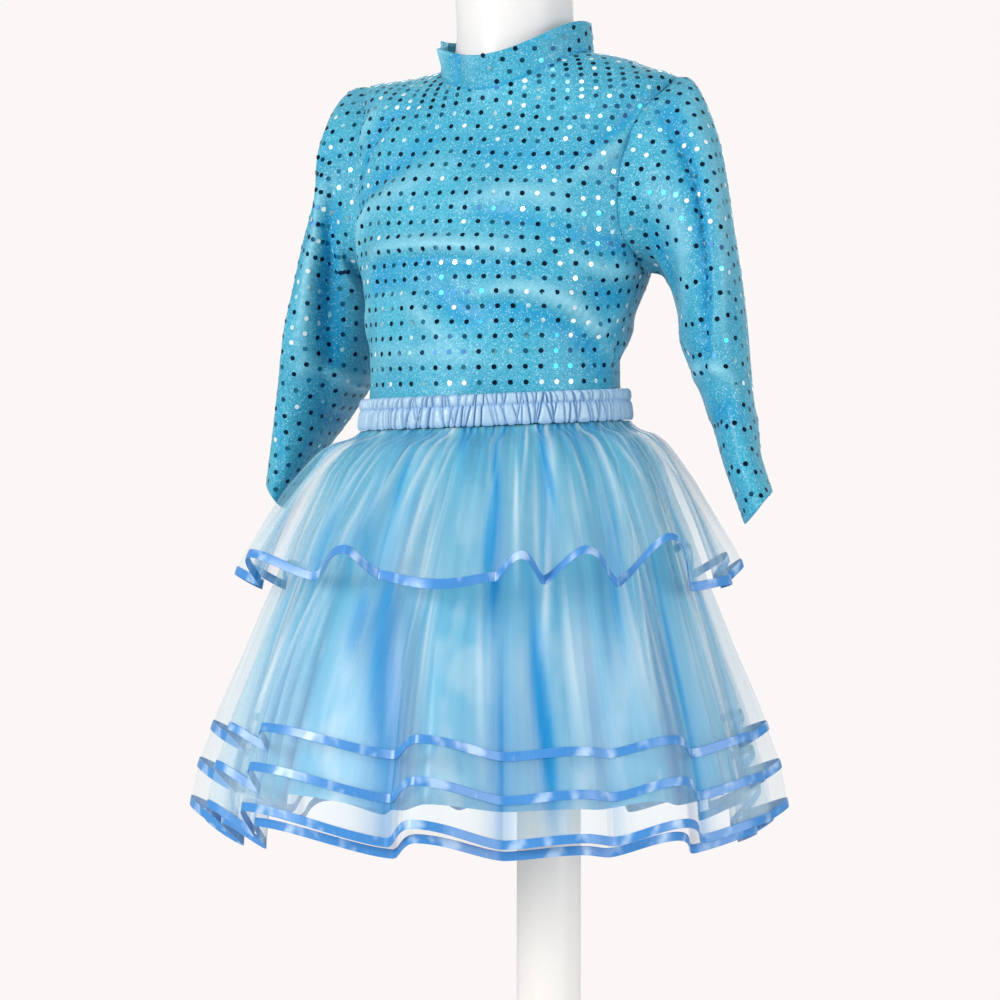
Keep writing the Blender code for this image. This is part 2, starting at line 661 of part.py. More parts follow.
def top():
    front = panel_rows(0.0, FRONT_COLUMNS, FRONT_FOLDS)
    behind = panel_rows(180.0, BACK_COLUMNS, BACK_FOLDS)
    cloth("top_front", front, False, KNIT_WALL, knit)
    cloth("top_back", behind, False, KNIT_WALL, knit)
    sleeve("sleeve_left", SLEEVE_LEFT, SLEEVE_LEFT_FOLDS, 1, sleeve_knit)
    sleeve("sleeve_right", SLEEVE_RIGHT, SLEEVE_RIGHT_FOLDS, -1, sleeve_knit)
    collar(collar_knit)


def skirt():
    """The upper tier, the lower tier's two layers and the lining, with the ribbons on them."""
    lower_columns = fold_columns(LOWER_FLUTES)
    upper_columns = fold_columns(UPPER_FLUTES)
    inner_out = LINING_CLEAR + LAYER_STEP
    lower_out = inner_out + LAYER_STEP
    upper_out = lower_out + TIER_STEP

    end = UPPER_LENGTH
    lengths = (*UPPER_ROWS, end - RIBBON_WIDTH, end)
    rows = skirt_rows(UPPER_PROFILE, lengths, upper_columns, upper_out, 0.0)
    cloth("tier_upper", rows, True, ORGANZA_WALL, organza_upper)
    ribbon("ribbon_upper_hem", rows, 0, ribbon_satin)

    end = LOWER_LENGTH
    middle, high = end - RIBBON_PITCH, end - 2 * RIBBON_PITCH
    lengths = (*LOWER_ROWS, high - RIBBON_WIDTH, high, middle - RIBBON_WIDTH, middle,
               end - RIBBON_WIDTH, end)
    rows = skirt_rows(LOWER_PROFILE, lengths, lower_columns, lower_out, FLARE_STEP)
    cloth("tier_lower", rows, True, ORGANZA_WALL, organza_lower)
    ribbon("ribbon_lower_hem", rows, 0, ribbon_satin)
    ribbon("ribbon_lower_middle", rows, 2, ribbon_satin)
    ribbon("ribbon_lower_high", rows, 4, ribbon_satin)

    end = LOWER_LENGTH + INNER_EXTRA
    lengths = (*INNER_ROWS, end - RIBBON_WIDTH, end)
    rows = skirt_rows(LOWER_PROFILE, lengths, lower_columns, inner_out, 2 * FLARE_STEP,
                      INNER_SHARE, INNER_SHARE)
    cloth("tier_lower_inner", rows, True, ORGANZA_WALL, organza_inner)
    ribbon("ribbon_inner_hem", rows, 0, ribbon_satin)

    lengths = (*LINING_ROWS, LINING_LENGTH)
    rows = skirt_rows(LOWER_PROFILE, lengths, lower_columns, LINING_CLEAR, 3 * FLARE_STEP,
                      LINING_FOLD_SHARE, LINING_SPREAD)
    cloth("lining", rows, True, SATIN_WALL, lining_satin)


SET = bpy.data.collections.new("skirt_and_top_set_on_dress_form")
bpy.context.scene.collection.children.link(SET)
FIGURE = bpy.data.objects.new("figure", None)
SET.objects.link(FIGURE)
FIGURE.location = (FIGURE_X, 0.0, 0.0)

knit = material("sequin_knit", (0.10, 0.45, 0.72), 0.45)
sleeve_knit = material("sequin_knit_sleeve", (0.09, 0.42, 0.70), 0.45)
collar_knit = material("sequin_knit_collar", (0.12, 0.48, 0.74), 0.45)
casing_satin = material("casing_satin", (0.42, 0.58, 0.88), 0.40)
organza_upper = material("organza_upper", (0.38, 0.68, 0.86), 0.50)
organza_lower = material("organza_lower", (0.42, 0.70, 0.88), 0.50)
organza_inner = material("organza_inner", (0.36, 0.68, 0.86), 0.50)
lining_satin = material("lining_satin", (0.32, 0.62, 0.88), 0.35)
ribbon_satin = material("ribbon_satin", (0.10, 0.32, 0.78), 0.30)
form_white = material("form_white", (0.88, 0.88, 0.88), 0.35)
stand_white = material("stand_white", (0.85, 0.85, 0.85), 0.30)

dress_form(form_white)
stand(stand_white)
top()
waistband(casing_satin)
skirt()
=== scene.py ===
# Looks of a child's skirt and top set on a limbless dress form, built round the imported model.
# Metres, +Z up. The set faces -Y and the wearer's left is +X, as in the model.

import math

import bpy
import numpy as np
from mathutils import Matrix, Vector


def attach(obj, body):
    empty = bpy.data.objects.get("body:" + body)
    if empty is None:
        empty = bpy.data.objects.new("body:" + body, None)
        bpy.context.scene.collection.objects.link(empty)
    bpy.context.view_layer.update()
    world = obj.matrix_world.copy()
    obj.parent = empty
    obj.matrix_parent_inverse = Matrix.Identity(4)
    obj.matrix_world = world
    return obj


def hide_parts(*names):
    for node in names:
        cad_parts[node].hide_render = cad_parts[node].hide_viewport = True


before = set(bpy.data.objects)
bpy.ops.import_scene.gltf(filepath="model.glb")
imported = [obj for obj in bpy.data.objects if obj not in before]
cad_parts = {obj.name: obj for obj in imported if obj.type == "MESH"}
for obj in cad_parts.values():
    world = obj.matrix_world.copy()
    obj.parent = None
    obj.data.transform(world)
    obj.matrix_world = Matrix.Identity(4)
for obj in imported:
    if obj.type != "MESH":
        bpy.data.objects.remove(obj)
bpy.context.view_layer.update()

# Studio
# The set is seen from its front left, a little above the waist, against a plain pale ground.
# A wide soft light stands to the left of the camera and a weaker one to its right. Two more,
# overhead and behind, lift the shadows.
CAMERA_AZIMUTH = math.radians(26.0)
CAMERA_ELEVATION = math.radians(2.5)
CAMERA_DISTANCE = 2.45
CAMERA_LENS_MM = 126.0
CAMERA_SENSOR_MM = 36.0
AIM_SIDEWAYS = -0.0343
AIM_HEIGHT = 0.5915
FLOOR_RADIUS = 1.15
FLOOR_COLOUR = (0.88, 0.87, 0.87)
GROUND_COLOUR = (0.965, 0.930, 0.922, 1.0)
AMBIENT_COLOUR = (1.00, 0.985, 0.97, 1.0)
AMBIENT_STRENGTH = 0.50
LIGHT_AIM = Vector((0.0, 0.0, 0.62))
LIGHTS = (
    # name, azimuth, height, distance, size, watts, colour
    ("key", -26.0, 1.20, 2.3, 0.90, 37.5, (1.0, 0.985, 0.96)),
    ("fill", 74.0, 0.90, 2.4, 1.40, 25.0, (0.97, 0.98, 1.0)),
    ("overhead", 10.0, 2.60, 1.0, 1.20, 7.0, (1.0, 1.0, 1.0)),
    ("back", 200.0, 1.40, 2.4, 1.40, 14.0, (1.0, 1.0, 1.0)),
)
scene = bpy.context.scene


def standing_at(azimuth, distance, height):
    """A point round the pole. Azimuth 0 is in front, and 90 is on the wearer's left."""
    return Vector((math.sin(azimuth) * distance, -math.cos(azimuth) * distance, height))


back = standing_at(CAMERA_AZIMUTH, math.cos(CAMERA_ELEVATION), math.sin(CAMERA_ELEVATION))
rightwards = Vector((math.cos(CAMERA_AZIMUTH), math.sin(CAMERA_AZIMUTH), 0.0))
camera_data = bpy.data.cameras.new("camera")
camera_data.sensor_width = CAMERA_SENSOR_MM
camera_data.lens = CAMERA_LENS_MM
camera = bpy.data.objects.new("camera", camera_data)
scene.collection.objects.link(camera)
camera.location = rightwards * AIM_SIDEWAYS + Vector((0.0, 0.0, AIM_HEIGHT)) + back * CAMERA_DISTANCE
camera.rotation_euler = (-back).to_track_quat("-Z", "Y").to_euler()
scene.camera = camera
scene.view_settings.view_transform = "Standard"

for name, azimuth, height, distance, size, watts, colour in LIGHTS:
    light_data = bpy.data.lights.new(name, "AREA")
    light_data.size = size
    light_data.energy = watts
    light_data.color = colour
    light = bpy.data.objects.new(name, light_data)
    scene.collection.objects.link(light)
    light.location = standing_at(math.radians(azimuth), distance, height)
    light.rotation_euler = (LIGHT_AIM - light.location).to_track_quat("-Z", "Y").to_euler()


def new_node(tree, kind, inputs=None, **settings):
    """A node with its settings made, and its inputs set to values or joined to other sockets."""
    node = tree.nodes.new(kind)
    for name, value in settings.items():
        setattr(node, name, value)
    for label, value in (inputs or {}).items():
        if isinstance(value, bpy.types.NodeSocket):
            tree.links.new(value, node.inputs[label])
        else:
            node.inputs[label].default_value = value
    return node


def new_material(name, colour, roughness, values=None):
    """A material with its Principled shader's plain values, its node tree and that shader."""
    made = bpy.data.materials.new(name)
    made.use_nodes = True
    shader = made.node_tree.nodes["Principled BSDF"]
    for label, value in {"Base Color": (*colour, 1.0), "Roughness": roughness, **(values or {})}.items():
        shader.inputs[label].default_value = value
    return made, made.node_tree, shader


world = bpy.data.worlds.new("studio")
scene.world = world
world.use_nodes = True
ambient = world.node_tree.nodes["Background"]
ambient.inputs["Color"].default_value = AMBIENT_COLOUR
ambient.inputs["Strength"].default_value = AMBIENT_STRENGTH
ground = new_node(world.node_tree, "ShaderNodeBackground", {"Color": GROUND_COLOUR})
sight = new_node(world.node_tree, "ShaderNodeLightPath")
either = new_node(world.node_tree, "ShaderNodeMixShader", {
    0: sight.outputs["Is Camera Ray"], 1: ambient.outputs["Background"], 2: ground.outputs["Background"]})
seen = world.node_tree.nodes["World Output"]
world.node_tree.links.new(either.outputs["Shader"], seen.inputs["Surface"])

floor_paint = new_material("floor_paint", FLOOR_COLOUR, 0.7)[0]
bpy.ops.mesh.primitive_circle_add(vertices=96, radius=FLOOR_RADIUS, fill_type="NGON")
floor = bpy.context.object
floor.name = "floor"
floor.data.materials.append(floor_paint)

# Stand
# A white enamelled steel tube stands in a heavy round base plate and carries the form.
# Both are turned shapes; the tube plugs into the base and into the form's flat underside.
FORM_BOTTOM = 0.575
POLE_RADIUS = 0.0225
POLE_GAP = 0.0003
BASE_RADIUS = 0.150
BASE_HEIGHT = 0.014
BASE_EDGE = 0.004
BASE_FOOT = 0.0015
STAND_BEVEL = 0.0008
ROUND_STEPS = 96
QUARTER_TURN = [math.radians(15.0 * step) for step in range(7)]
ENAMEL_TONES = ((0.86, 0.825, 0.785), (0.90, 0.865, 0.825))


def socket_group(name, inputs, outputs, kind="ShaderNodeTree"):
    """An empty node group with its sockets, then what it is given and its output node."""
    group = bpy.data.node_groups.new(name, kind)
    for label, form, value in inputs:
        socket = group.interface.new_socket(label, in_out="INPUT", socket_type="NodeSocket" + form)
        if value is not None:
            socket.default_value = value
    for label, form in outputs:
        group.interface.new_socket(label, in_out="OUTPUT", socket_type="NodeSocket" + form)
    return group, group.nodes.new("NodeGroupInput").outputs, group.nodes.new("NodeGroupOutput")


def node_maths(tree, operation, *values):
    """The result of a maths node on sockets or plain numbers."""
    return new_node(tree, "ShaderNodeMath", dict(enumerate(values)), operation=operation).outputs[0]


def add_group(tree, group, **values):
    """A node group placed in a material with its own values."""
    inputs = {label.title(): value for label, value in values.items()}
    return new_node(tree, "ShaderNodeGroup", inputs, node_tree=group)


def add_bump(tree, height, shader, distance, strength=1.0):
    """Low relief on a material, from a height."""
    bump = new_node(tree, "ShaderNodeBump", {"Strength": strength, "Distance": distance, "Height": height})
    tree.links.new(bump.outputs["Normal"], shader.inputs["Normal"])
    return bump


def ramp_between(tree, value, low, high, start=0.0, end=1.0):
    """A colour that runs from low to high as the value runs from start to end."""
    ramp = new_node(tree, "ShaderNodeValToRGB", {"Fac": value})
    for stop, position, colour in zip(ramp.color_ramp.elements, (start, end), (low, high)):
        stop.position = position
        stop.color = (*colour, 1.0)
    return ramp.outputs["Color"]


# noise in the object's own space, as a value, at a size in metres
surface_noise, into, out = socket_group("surface_noise", [("Size", "Float", 0.01)], [("Value", "Float")])
place = new_node(surface_noise, "ShaderNodeTexCoord")
noise = new_node(surface_noise, "ShaderNodeTexNoise", {
    "Vector": place.outputs["Object"], "Detail": 3.0,
    "Scale": node_maths(surface_noise, "DIVIDE", 1.0, into["Size"])})
surface_noise.links.new(noise.outputs["Fac"], out.inputs["Value"])


def uneven_surface(tree, shader, tones, size, distance, strength):
    """Makes a smooth white surface a little uneven in height and in tone."""
    value = add_group(tree, surface_noise, size=size).outputs["Value"]
    add_bump(tree, value, shader, distance, strength)
    tree.links.new(ramp_between(tree, value, *tones), shader.inputs["Base Color"])


def stand_in(piece, node):
    """Hides the node of the model that a piece stands in for, and lets the piece ride on the body."""
    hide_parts(node)
    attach(piece, "root")


enamel, tree, shader = new_material("white_enamel", ENAMEL_TONES[1], 0.30,
                                    {"Coat Weight": 0.3, "Coat Roughness": 0.15})
uneven_surface(tree, shader, ENAMEL_TONES, 0.004, 0.0002, 0.25)


def turned_piece(name, profile, finish, node):
    """A turned solid from a profile of radius and height, outer side from top to bottom."""
    mesh = bpy.data.meshes.new(name)
    points = [(radius, 0.0, height) for radius, height in profile]
    mesh.from_pydata(points, [(i, i + 1) for i in range(len(points) - 1)], [])
    mesh.materials.append(finish)
    made = bpy.data.objects.new(name, mesh)
    scene.collection.objects.link(made)
    screw = made.modifiers.new("turn", "SCREW")
    screw.steps = ROUND_STEPS
    screw.render_steps = ROUND_STEPS
    screw.use_merge_vertices = True
    screw.merge_threshold = 0.00001
    screw.use_smooth_shade = True
    bevel = made.modifiers.new("edges", "BEVEL")
    bevel.width = STAND_BEVEL
    bevel.segments = 2
    bevel.limit_method = "ANGLE"
    stand_in(made, node)


pole_top, pole_foot = FORM_BOTTOM - POLE_GAP, BASE_HEIGHT + POLE_GAP
turned_piece("pole_tube", ((0.0, pole_top), (POLE_RADIUS, pole_top), (POLE_RADIUS, pole_foot),
                           (0.0, pole_foot)), enamel, "stand_pole")
base_profile = [(0.0, BASE_HEIGHT), (BASE_RADIUS - BASE_EDGE, BASE_HEIGHT)]
for turn in QUARTER_TURN[1:]:
    base_profile.append((BASE_RADIUS - BASE_EDGE * (1 - math.sin(turn)),
                         BASE_HEIGHT - BASE_EDGE * (1 - math.cos(turn))))
base_profile += [(BASE_RADIUS, BASE_FOOT), (BASE_RADIUS - BASE_FOOT, 0.0), (0.0, 0.0)]
turned_piece("base_plate", base_profile, enamel, "stand_base")

# Dress form
# A smooth white moulded torso without limbs, with a round neck. It is a thin shell in life,
# a little smaller than the top all over, and stands a centimetre to one side of the pole's axis.
FIGURE_X = -0.010
FORM_INSET = 0.0030
FORM_ARM_INSET = 0.0018
FORM_SHOULDER_SINK = 0.0020
FORM_COLUMNS = 96
FORM_SHARP_ANGLE = math.radians(50.0)
FORM_TONES = ((0.735, 0.730, 0.730), (0.765, 0.760, 0.760))
NECK_RADIUS = 0.0405
NECK_TOP = 0.958
NECK_LEAN = -0.10
NECK_SHIFT = -0.001
NECK_EDGE = 0.008
NECK_KNOTS = (
    # how level the ring is, its radius, how far it is above the neckline's sides
    (0.35, 0.0445, 0.006),
    (0.75, 0.0415, 0.013),
    (1.00, NECK_RADIUS, 0.022),
    (1.00, NECK_RADIUS, 0.040),
)
NECK_ROWS = 24
TORSO = np.array((
    # front_z, side_z, back_z, half_width, side_y, front_depth, back_depth, roundness, lean,
    # left_edge, right_edge
    (0.575, 0.575, 0.575, 0.1010, -0.058, 0.080, 0.088, 1.00, 0.00, 90, 90),
    (0.600, 0.600, 0.600, 0.0965, -0.062, 0.077, 0.080, 1.00, 0.00, 90, 90),
    (0.622, 0.622, 0.622, 0.0925, -0.065, 0.0750, 0.0745, 1.00, 0.00, 90, 90),
    (0.645, 0.645, 0.645, 0.0905, -0.066, 0.0732, 0.0725, 1.00, 0.00, 90, 90),
    (0.667, 0.667, 0.667, 0.0885, -0.066, 0.0725, 0.0710, 1.00, 0.00, 90, 90),
    (0.690, 0.690, 0.690, 0.0885, -0.064, 0.0740, 0.0700, 0.99, 0.00, 90, 90),
    (0.718, 0.718, 0.718, 0.0935, -0.057, 0.077, 0.072, 0.94, 0.00, 90, 90),
    (0.749, 0.749, 0.749, 0.1015, -0.047, 0.080, 0.075, 0.88, 0.00, 90, 90),
    (0.768, 0.773, 0.772, 0.1060, -0.043, 0.080, 0.075, 0.87, 0.00, 69, 73),
    (0.790, 0.803, 0.800, 0.1095, -0.037, 0.078, 0.073, 0.86, 0.00, 61, 67),
    (0.812, 0.834, 0.829, 0.1120, -0.031, 0.075, 0.068, 0.87, 0.00, 60, 66),
    (0.833, 0.862, 0.855, 0.1140, -0.027, 0.069, 0.060, 0.90, 0.00, 67, 71),
    (0.850, 0.881, 0.873, 0.1145, -0.024, 0.062, 0.052, 0.94, 0.00, 90, 90),
    (0.858, 0.8865, 0.882, 0.0960, -0.025, 0.058, 0.050, 0.96, 0.02, 90, 90),
    (0.866, 0.891, 0.891, 0.0760, -0.027, 0.054, 0.048, 0.98, 0.06, 90, 90),
    (0.8735, 0.8950, 0.902, 0.0545, -0.030, 0.050, 0.046, 1.00, 0.09, 90, 90),
))
LEFT_EDGE, RIGHT_EDGE = 9, 10
UNDERARM, SHOULDER_TIP, NECKLINE = 7.0, 12.0, 15.0


def row_between(table, where):
    """Rows of a table at fractional places, on a smooth curve through the given rows."""
    where = np.asarray(where, float)
    low = np.clip(np.floor(where).astype(int), 0, len(table) - 2)
    part = (where - low)[..., None]
    before, here = table[np.maximum(low - 1, 0)], table[low]
    after, beyond = table[low + 1], table[np.minimum(low + 2, len(table) - 1)]
    start, end = (after - before) / 2, (beyond - here) / 2
    curve = (2 * here - 2 * after + start + end) * part ** 3
    curve += (3 * after - 3 * here - 2 * start - end) * part ** 2
    return curve + start * part + here


def torso_grid(angle, where, inset=0.0, drop=0.0):
    """Points of the torso. The angle runs from the front towards the wearer's left."""
    (front_z, side_z, back_z, half_width, side_y, front_depth, back_depth, roundness,
     lean) = [column[:, None] for column in row_between(TORSO, where).T[:LEFT_EDGE]]
    side, ahead = np.sin(np.radians(angle)), np.cos(np.radians(angle))
    depth = np.where(ahead > 0, front_depth, back_depth)
    middle_z = np.where(ahead > 0, front_z, back_z)
    x = (half_width - inset) * np.sign(side) * np.abs(side) ** roundness
    y = side_y - (depth - inset) * np.sign(ahead) * np.abs(ahead) ** roundness
    z = middle_z + (side_z - middle_z) * side ** 2 + lean * x - drop
    return np.stack(np.broadcast_arrays(x, y, z), axis=-1)


def grid_mesh(name, grid, closed, finish, cloth_map=None, capped=False):
    """A sheet through a grid of points: rows run upwards, columns anticlockwise from above."""
    rows, columns = grid.shape[:2]
    index = np.arange(rows * columns).reshape(rows, columns)
    ends = [index[0, ::-1].tolist(), index[-1].tolist()] if capped else []
    if closed:
        index = np.hstack([index, index[:, :1]])
    corners = (np.s_[:-1, :-1], np.s_[:-1, 1:], np.s_[1:, 1:], np.s_[1:, :-1])
    faces = np.stack([index[place] for place in corners], axis=-1).reshape(-1, 4).tolist()
    mesh = bpy.data.meshes.new(name)
    mesh.from_pydata((grid.reshape(-1, 3) + (FIGURE_X, 0.0, 0.0)).tolist(), [], faces + ends)
    if cloth_map is not None:
        layer = mesh.uv_layers.new(name="cloth")
        around = np.stack([cloth_map[place] for place in corners], axis=-2)
        layer.data.foreach_set("uv", around.reshape(-1))
    mesh.materials.append(finish)
    mesh.shade_smooth()
    made = bpy.data.objects.new(name, mesh)
    scene.collection.objects.link(made)
    return made


def ring_at(radius, middle_y, height):
    """A level or bent ring of the neck. Its height is one number, or one for each column."""
    turn = np.linspace(0.0, 2 * math.pi, FORM_COLUMNS, endpoint=False)
    return np.stack([radius * np.sin(turn), middle_y - radius * np.cos(turn), height + 0 * turn], -1)


form_angles = np.linspace(0.0, 360.0, FORM_COLUMNS, endpoint=False)
form_places = np.concatenate([np.linspace(0.0, UNDERARM, 30), np.linspace(UNDERARM + 0.1, SHOULDER_TIP, 36),
                              np.linspace(SHOULDER_TIP + 0.1, NECKLINE, 20)])
at_arm = (form_places > UNDERARM - 0.5) & (form_places <= SHOULDER_TIP)
form_inset = FORM_INSET + FORM_ARM_INSET * at_arm
form_sink = FORM_SHOULDER_SINK * np.clip(form_places - SHOULDER_TIP + 2.0, 0.0, 1.0)
form_rows = list(torso_grid(form_angles, form_places, form_inset[:, None], form_sink[:, None]))
neck_start = form_rows[-1]
neck_side_z = TORSO[-1][1]
neck_y = TORSO[-1][4] + NECK_SHIFT
neck_knots = [form_rows[-4], neck_start]
for share, radius, rise in NECK_KNOTS:
    level = neck_start[:, 2] + (neck_side_z - neck_start[:, 2]) * share
    neck_knots.append(ring_at(radius, neck_y + NECK_LEAN * rise, level + rise))
neck_curve = row_between(np.array(neck_knots).reshape(len(neck_knots), -1),
                         np.linspace(1.0, len(NECK_KNOTS) + 1, NECK_ROWS + 1))
form_rows += list(neck_curve[1:].reshape(-1, FORM_COLUMNS, 3))
for turn in QUARTER_TURN:
    height = NECK_TOP - NECK_EDGE * (1 - math.sin(turn))
    radius = NECK_RADIUS - NECK_EDGE * (1 - math.cos(turn))
    form_rows.append(ring_at(radius, neck_y + NECK_LEAN * (height - neck_side_z), height))

form_white, tree, shader = new_material("form_white", FORM_TONES[1], 0.55, {
    "Specular IOR Level": 0.25, "Sheen Weight": 0.45, "Sheen Roughness": 0.6,
    "Coat Weight": 0.25, "Coat Roughness": 0.25})
uneven_surface(tree, shader, FORM_TONES, 0.012, 0.0004, 0.2)
form_shell = grid_mesh("form_shell", np.array(form_rows), True, form_white, capped=True)
form_shell.data.set_sharp_from_angle(angle=FORM_SHARP_ANGLE)
stand_in(form_shell, "form_body")

# Front and back of the top
# A stretch knit with fine glitter, cut in one piece each, pulled on over the form without a
# closing. Sewn at the sides and shoulders; the hem is tucked into the skirt's waist.
SIDE_SEAM_SHIFT = 0.00025
SEAM_FADE = 0.006
SEAM_DIP = 0.0003
SEAM_DIP_WIDTH = 0.003
KNIT_WALL = 0.0010
TORSO_RADIUS = 0.095
PANEL_COLUMNS = 132
FOLD_STEPS = 22
FOLD_END_SHARE = 0.12
FOLD_FULLNESS = 1.5
FOLD_NARROWNESS = 0.82
FRONT_FOLDS = (
    # angle and height of its start, middle and end, how far it stands out, half width
    (-40, 0.762, -8, 0.767, 26, 0.761, 0.0026, 0.0085),
    (-40, 0.738, -24, 0.757, 26, 0.751, -0.0018, 0.0080),
    (0, 0.798, 20, 0.801, 42, 0.786, 0.0020, 0.0080),
    (3, 0.789, 16, 0.786, 36, 0.776, -0.0014, 0.0070),
    (10, 0.733, 42, 0.731, 86, 0.692, 0.0034, 0.0085),
    (4, 0.722, 36, 0.7215, 92, 0.677, -0.0018, 0.0100),
    (-10, 0.748, 0, 0.728, 14, 0.712, -0.0016, 0.0080),
    (-22, 0.735, -12, 0.718, 2, 0.704, 0.0014, 0.0090),
    (88, 0.770, 62, 0.767, 38, 0.777, -0.0017, 0.0095),
    (86, 0.752, 66, 0.749, 44, 0.758, 0.0020, 0.0085),
    (86, 0.735, 70, 0.733, 52, 0.745, -0.0014, 0.0080),
    (76, 0.864, 56, 0.846, 36, 0.818, -0.0016, 0.0080),
    (72, 0.850, 52, 0.829, 32, 0.804, 0.0017, 0.0085),
    (-68, 0.786, -38, 0.813, -12, 0.845, -0.0016, 0.0085),
    (-66, 0.774, -34, 0.799, -6, 0.824, 0.0016, 0.0090),
    (-72, 0.750, -58, 0.772, -44, 0.800, 0.0016, 0.0080),
    (-80, 0.700, -62, 0.715, -44, 0.745, 0.0014, 0.0080),
    (-60, 0.690, -20, 0.694, 30, 0.688, 0.0012, 0.0100),
    (-62, 0.812, -50, 0.838, -34, 0.862, -0.0022, 0.0070),
    (-66, 0.836, -58, 0.848, -48, 0.862, 0.0022, 0.0070),
    (-56, 0.732, -34, 0.742, -14, 0.740, -0.0018, 0.0060),
    (84, 0.722, 72, 0.712, 62, 0.714, 0.0010, 0.0060),
    (88, 0.712, 74, 0.701, 60, 0.704, -0.0010, 0.0060),
    (-4, 0.832, 14, 0.828, 34, 0.822, -0.0010, 0.0100),
)
BACK_FOLDS = (
    (110, 0.768, 150, 0.772, 196, 0.764, 0.0022, 0.0090),
    (108, 0.752, 150, 0.757, 192, 0.750, -0.0015, 0.0085),
    (96, 0.694, 140, 0.722, 178, 0.726, 0.0026, 0.0090),
    (94, 0.680, 138, 0.708, 176, 0.713, -0.0016, 0.0085),
    (262, 0.698, 226, 0.716, 190, 0.736, 0.0022, 0.0090),
    (264, 0.770, 236, 0.774, 214, 0.788, -0.0015, 0.0090),
    (262, 0.752, 236, 0.756, 212, 0.768, 0.0018, 0.0085),
    (110, 0.788, 136, 0.816, 160, 0.850, -0.0015, 0.0085),
    (250, 0.790, 224, 0.816, 200, 0.848, -0.0015, 0.0085),
    (112, 0.774, 140, 0.802, 166, 0.830, 0.0015, 0.0090),
    (150, 0.690, 180, 0.694, 214, 0.688, 0.0012, 0.0100),
)
KNIT_DEEP = (0.010, 0.280, 0.450)
KNIT_PALE = (0.085, 0.460, 0.630)
# the fold ridges' painted highlight and the fold hollows' painted shade
KNIT_RIDGE_HIGHLIGHT = (0.200, 0.530, 0.670)
KNIT_HOLLOW_SHADE = (0.006, 0.295, 0.545)
KNIT_CLOUD_SIZE = 0.045
KNIT_CLOUDS = ((0.84, 0.90, 0.93), (1.14, 1.08, 1.05))
KNIT_WAVE_SIZE = 0.026
KNIT_WAVE_HEIGHT = 0.004
GLITTER_SIZE = 0.00065
# colour of the specks painted as glints
GLITTER_GLINT = (0.29, 0.61, 0.73)
GLITTER_RARITY = 0.935
# relief at which the folds' painted highlight and painted shade are full
FOLD_PAINTED_LIGHT_RELIEF = (0.0040, 0.0022)


def apart(angle, centre):
    """Degrees from a centre to each angle, the short way round."""
    return (angle - centre + 180.0) % 360.0 - 180.0


def fold_relief(angle, level, folds, radius):
    """How far soft folds stand out at each point. Each fold is a bent line through three places."""
    relief = np.zeros(np.broadcast(angle, level).shape)
    for start_angle, start, middle_angle, middle, end_angle, end, stand_out, half_width in folds:
        nearest = np.zeros_like(relief)
        for share in np.linspace(0.0, 1.0, FOLD_STEPS):
            first, second, third = ((1 - share) * (1 - 2 * share), 4 * share * (1 - share),
                                    share * (2 * share - 1))
            line_angle = first * start_angle + second * middle_angle + third * end_angle
            line_level = first * start + second * middle + third * end
            aside = np.radians(apart(angle, line_angle)) * radius
            away = aside ** 2 + (level - line_level) ** 2
            taper = math.sin(math.pi * (FOLD_END_SHARE + (1 - 2 * FOLD_END_SHARE) * share))
            nearest = np.maximum(nearest, taper * np.exp(-away / (FOLD_NARROWNESS * half_width) ** 2))
        relief += stand_out * nearest
    return relief


def sink_seam(relief, distance, fade, width):
    """Lets folds run out towards a seam, and sinks the seam itself a little."""
    return relief * np.clip(distance / fade, 0.0, 1.0) - SEAM_DIP * np.exp(-(distance / width) ** 2)


def outward_normals(grid, closed):
    """Outward normals of a grid whose rows run upwards."""
    if closed:
        along = np.roll(grid, -1, axis=1) - np.roll(grid, 1, axis=1)
    else:
        along = np.gradient(grid, axis=1)
    normals = np.cross(along, np.gradient(grid, axis=0))
    return normals / np.maximum(np.linalg.norm(normals, axis=-1, keepdims=True), 1e-9)


def cloth_lengths(grid, closed, middle_column):
    """Cloth coordinates of a grid in metres: across from the middle column, and up the sheet."""
    wide = np.concatenate([grid, grid[:, :1]], axis=1) if closed else grid
    steps = np.linalg.norm(np.diff(wide, axis=1), axis=-1)
    across = np.concatenate([np.zeros((len(wide), 1)), np.cumsum(steps, axis=1)], axis=1)
    across -= across[:, middle_column][:, None]
    rises = np.linalg.norm(np.diff(wide, axis=0), axis=-1)
    upwards = np.concatenate([np.zeros((1, wide.shape[1])), np.cumsum(rises, axis=0)], axis=0)
    return np.stack([across, upwards], axis=-1)


# specks of glitter in the yarn: a value for each speck, and a mask of the rarest, which are painted pale as
# glints
glitter, into, out = socket_group("glitter", [("Size", "Float", 0.001)],
                                  [("Value", "Float"), ("Bright", "Float")])
place = new_node(glitter, "ShaderNodeTexCoord")
cells = new_node(glitter, "ShaderNodeTexVoronoi", {
    "Vector": place.outputs["Object"], "Scale": node_maths(glitter, "DIVIDE", 1.0, into["Size"])})
parts = new_node(glitter, "ShaderNodeSeparateColor", {"Color": cells.outputs["Color"]})
glinting = node_maths(glitter, "GREATER_THAN", parts.outputs[1], GLITTER_RARITY)
glitter.links.new(parts.outputs[0], out.inputs["Value"])
glitter.links.new(glinting, out.inputs["Bright"])


def mix_colours(tree, amount, first, second, blend="MIX"):
    """A colour mixed with a second colour by an amount."""
    if not isinstance(second, bpy.types.NodeSocket):
        second = (*second, 1.0)
    mix = new_node(tree, "ShaderNodeMix", {"Factor": amount, "A": first, "B": second},
                   data_type="RGBA", blend_type=blend)
    return mix.outputs["Result"]


def keep_values(piece, name, values):
    """Stores one value for each point of a piece, for its material to read."""
    layer = piece.data.attributes.new(name, "FLOAT", "POINT")
    layer.data.foreach_set("value", np.asarray(values, np.float32).reshape(-1))


def read_value(tree, name):
    """The value that a piece stores for each point."""
    return new_node(tree, "ShaderNodeAttribute", attribute_name=name).outputs["Fac"]
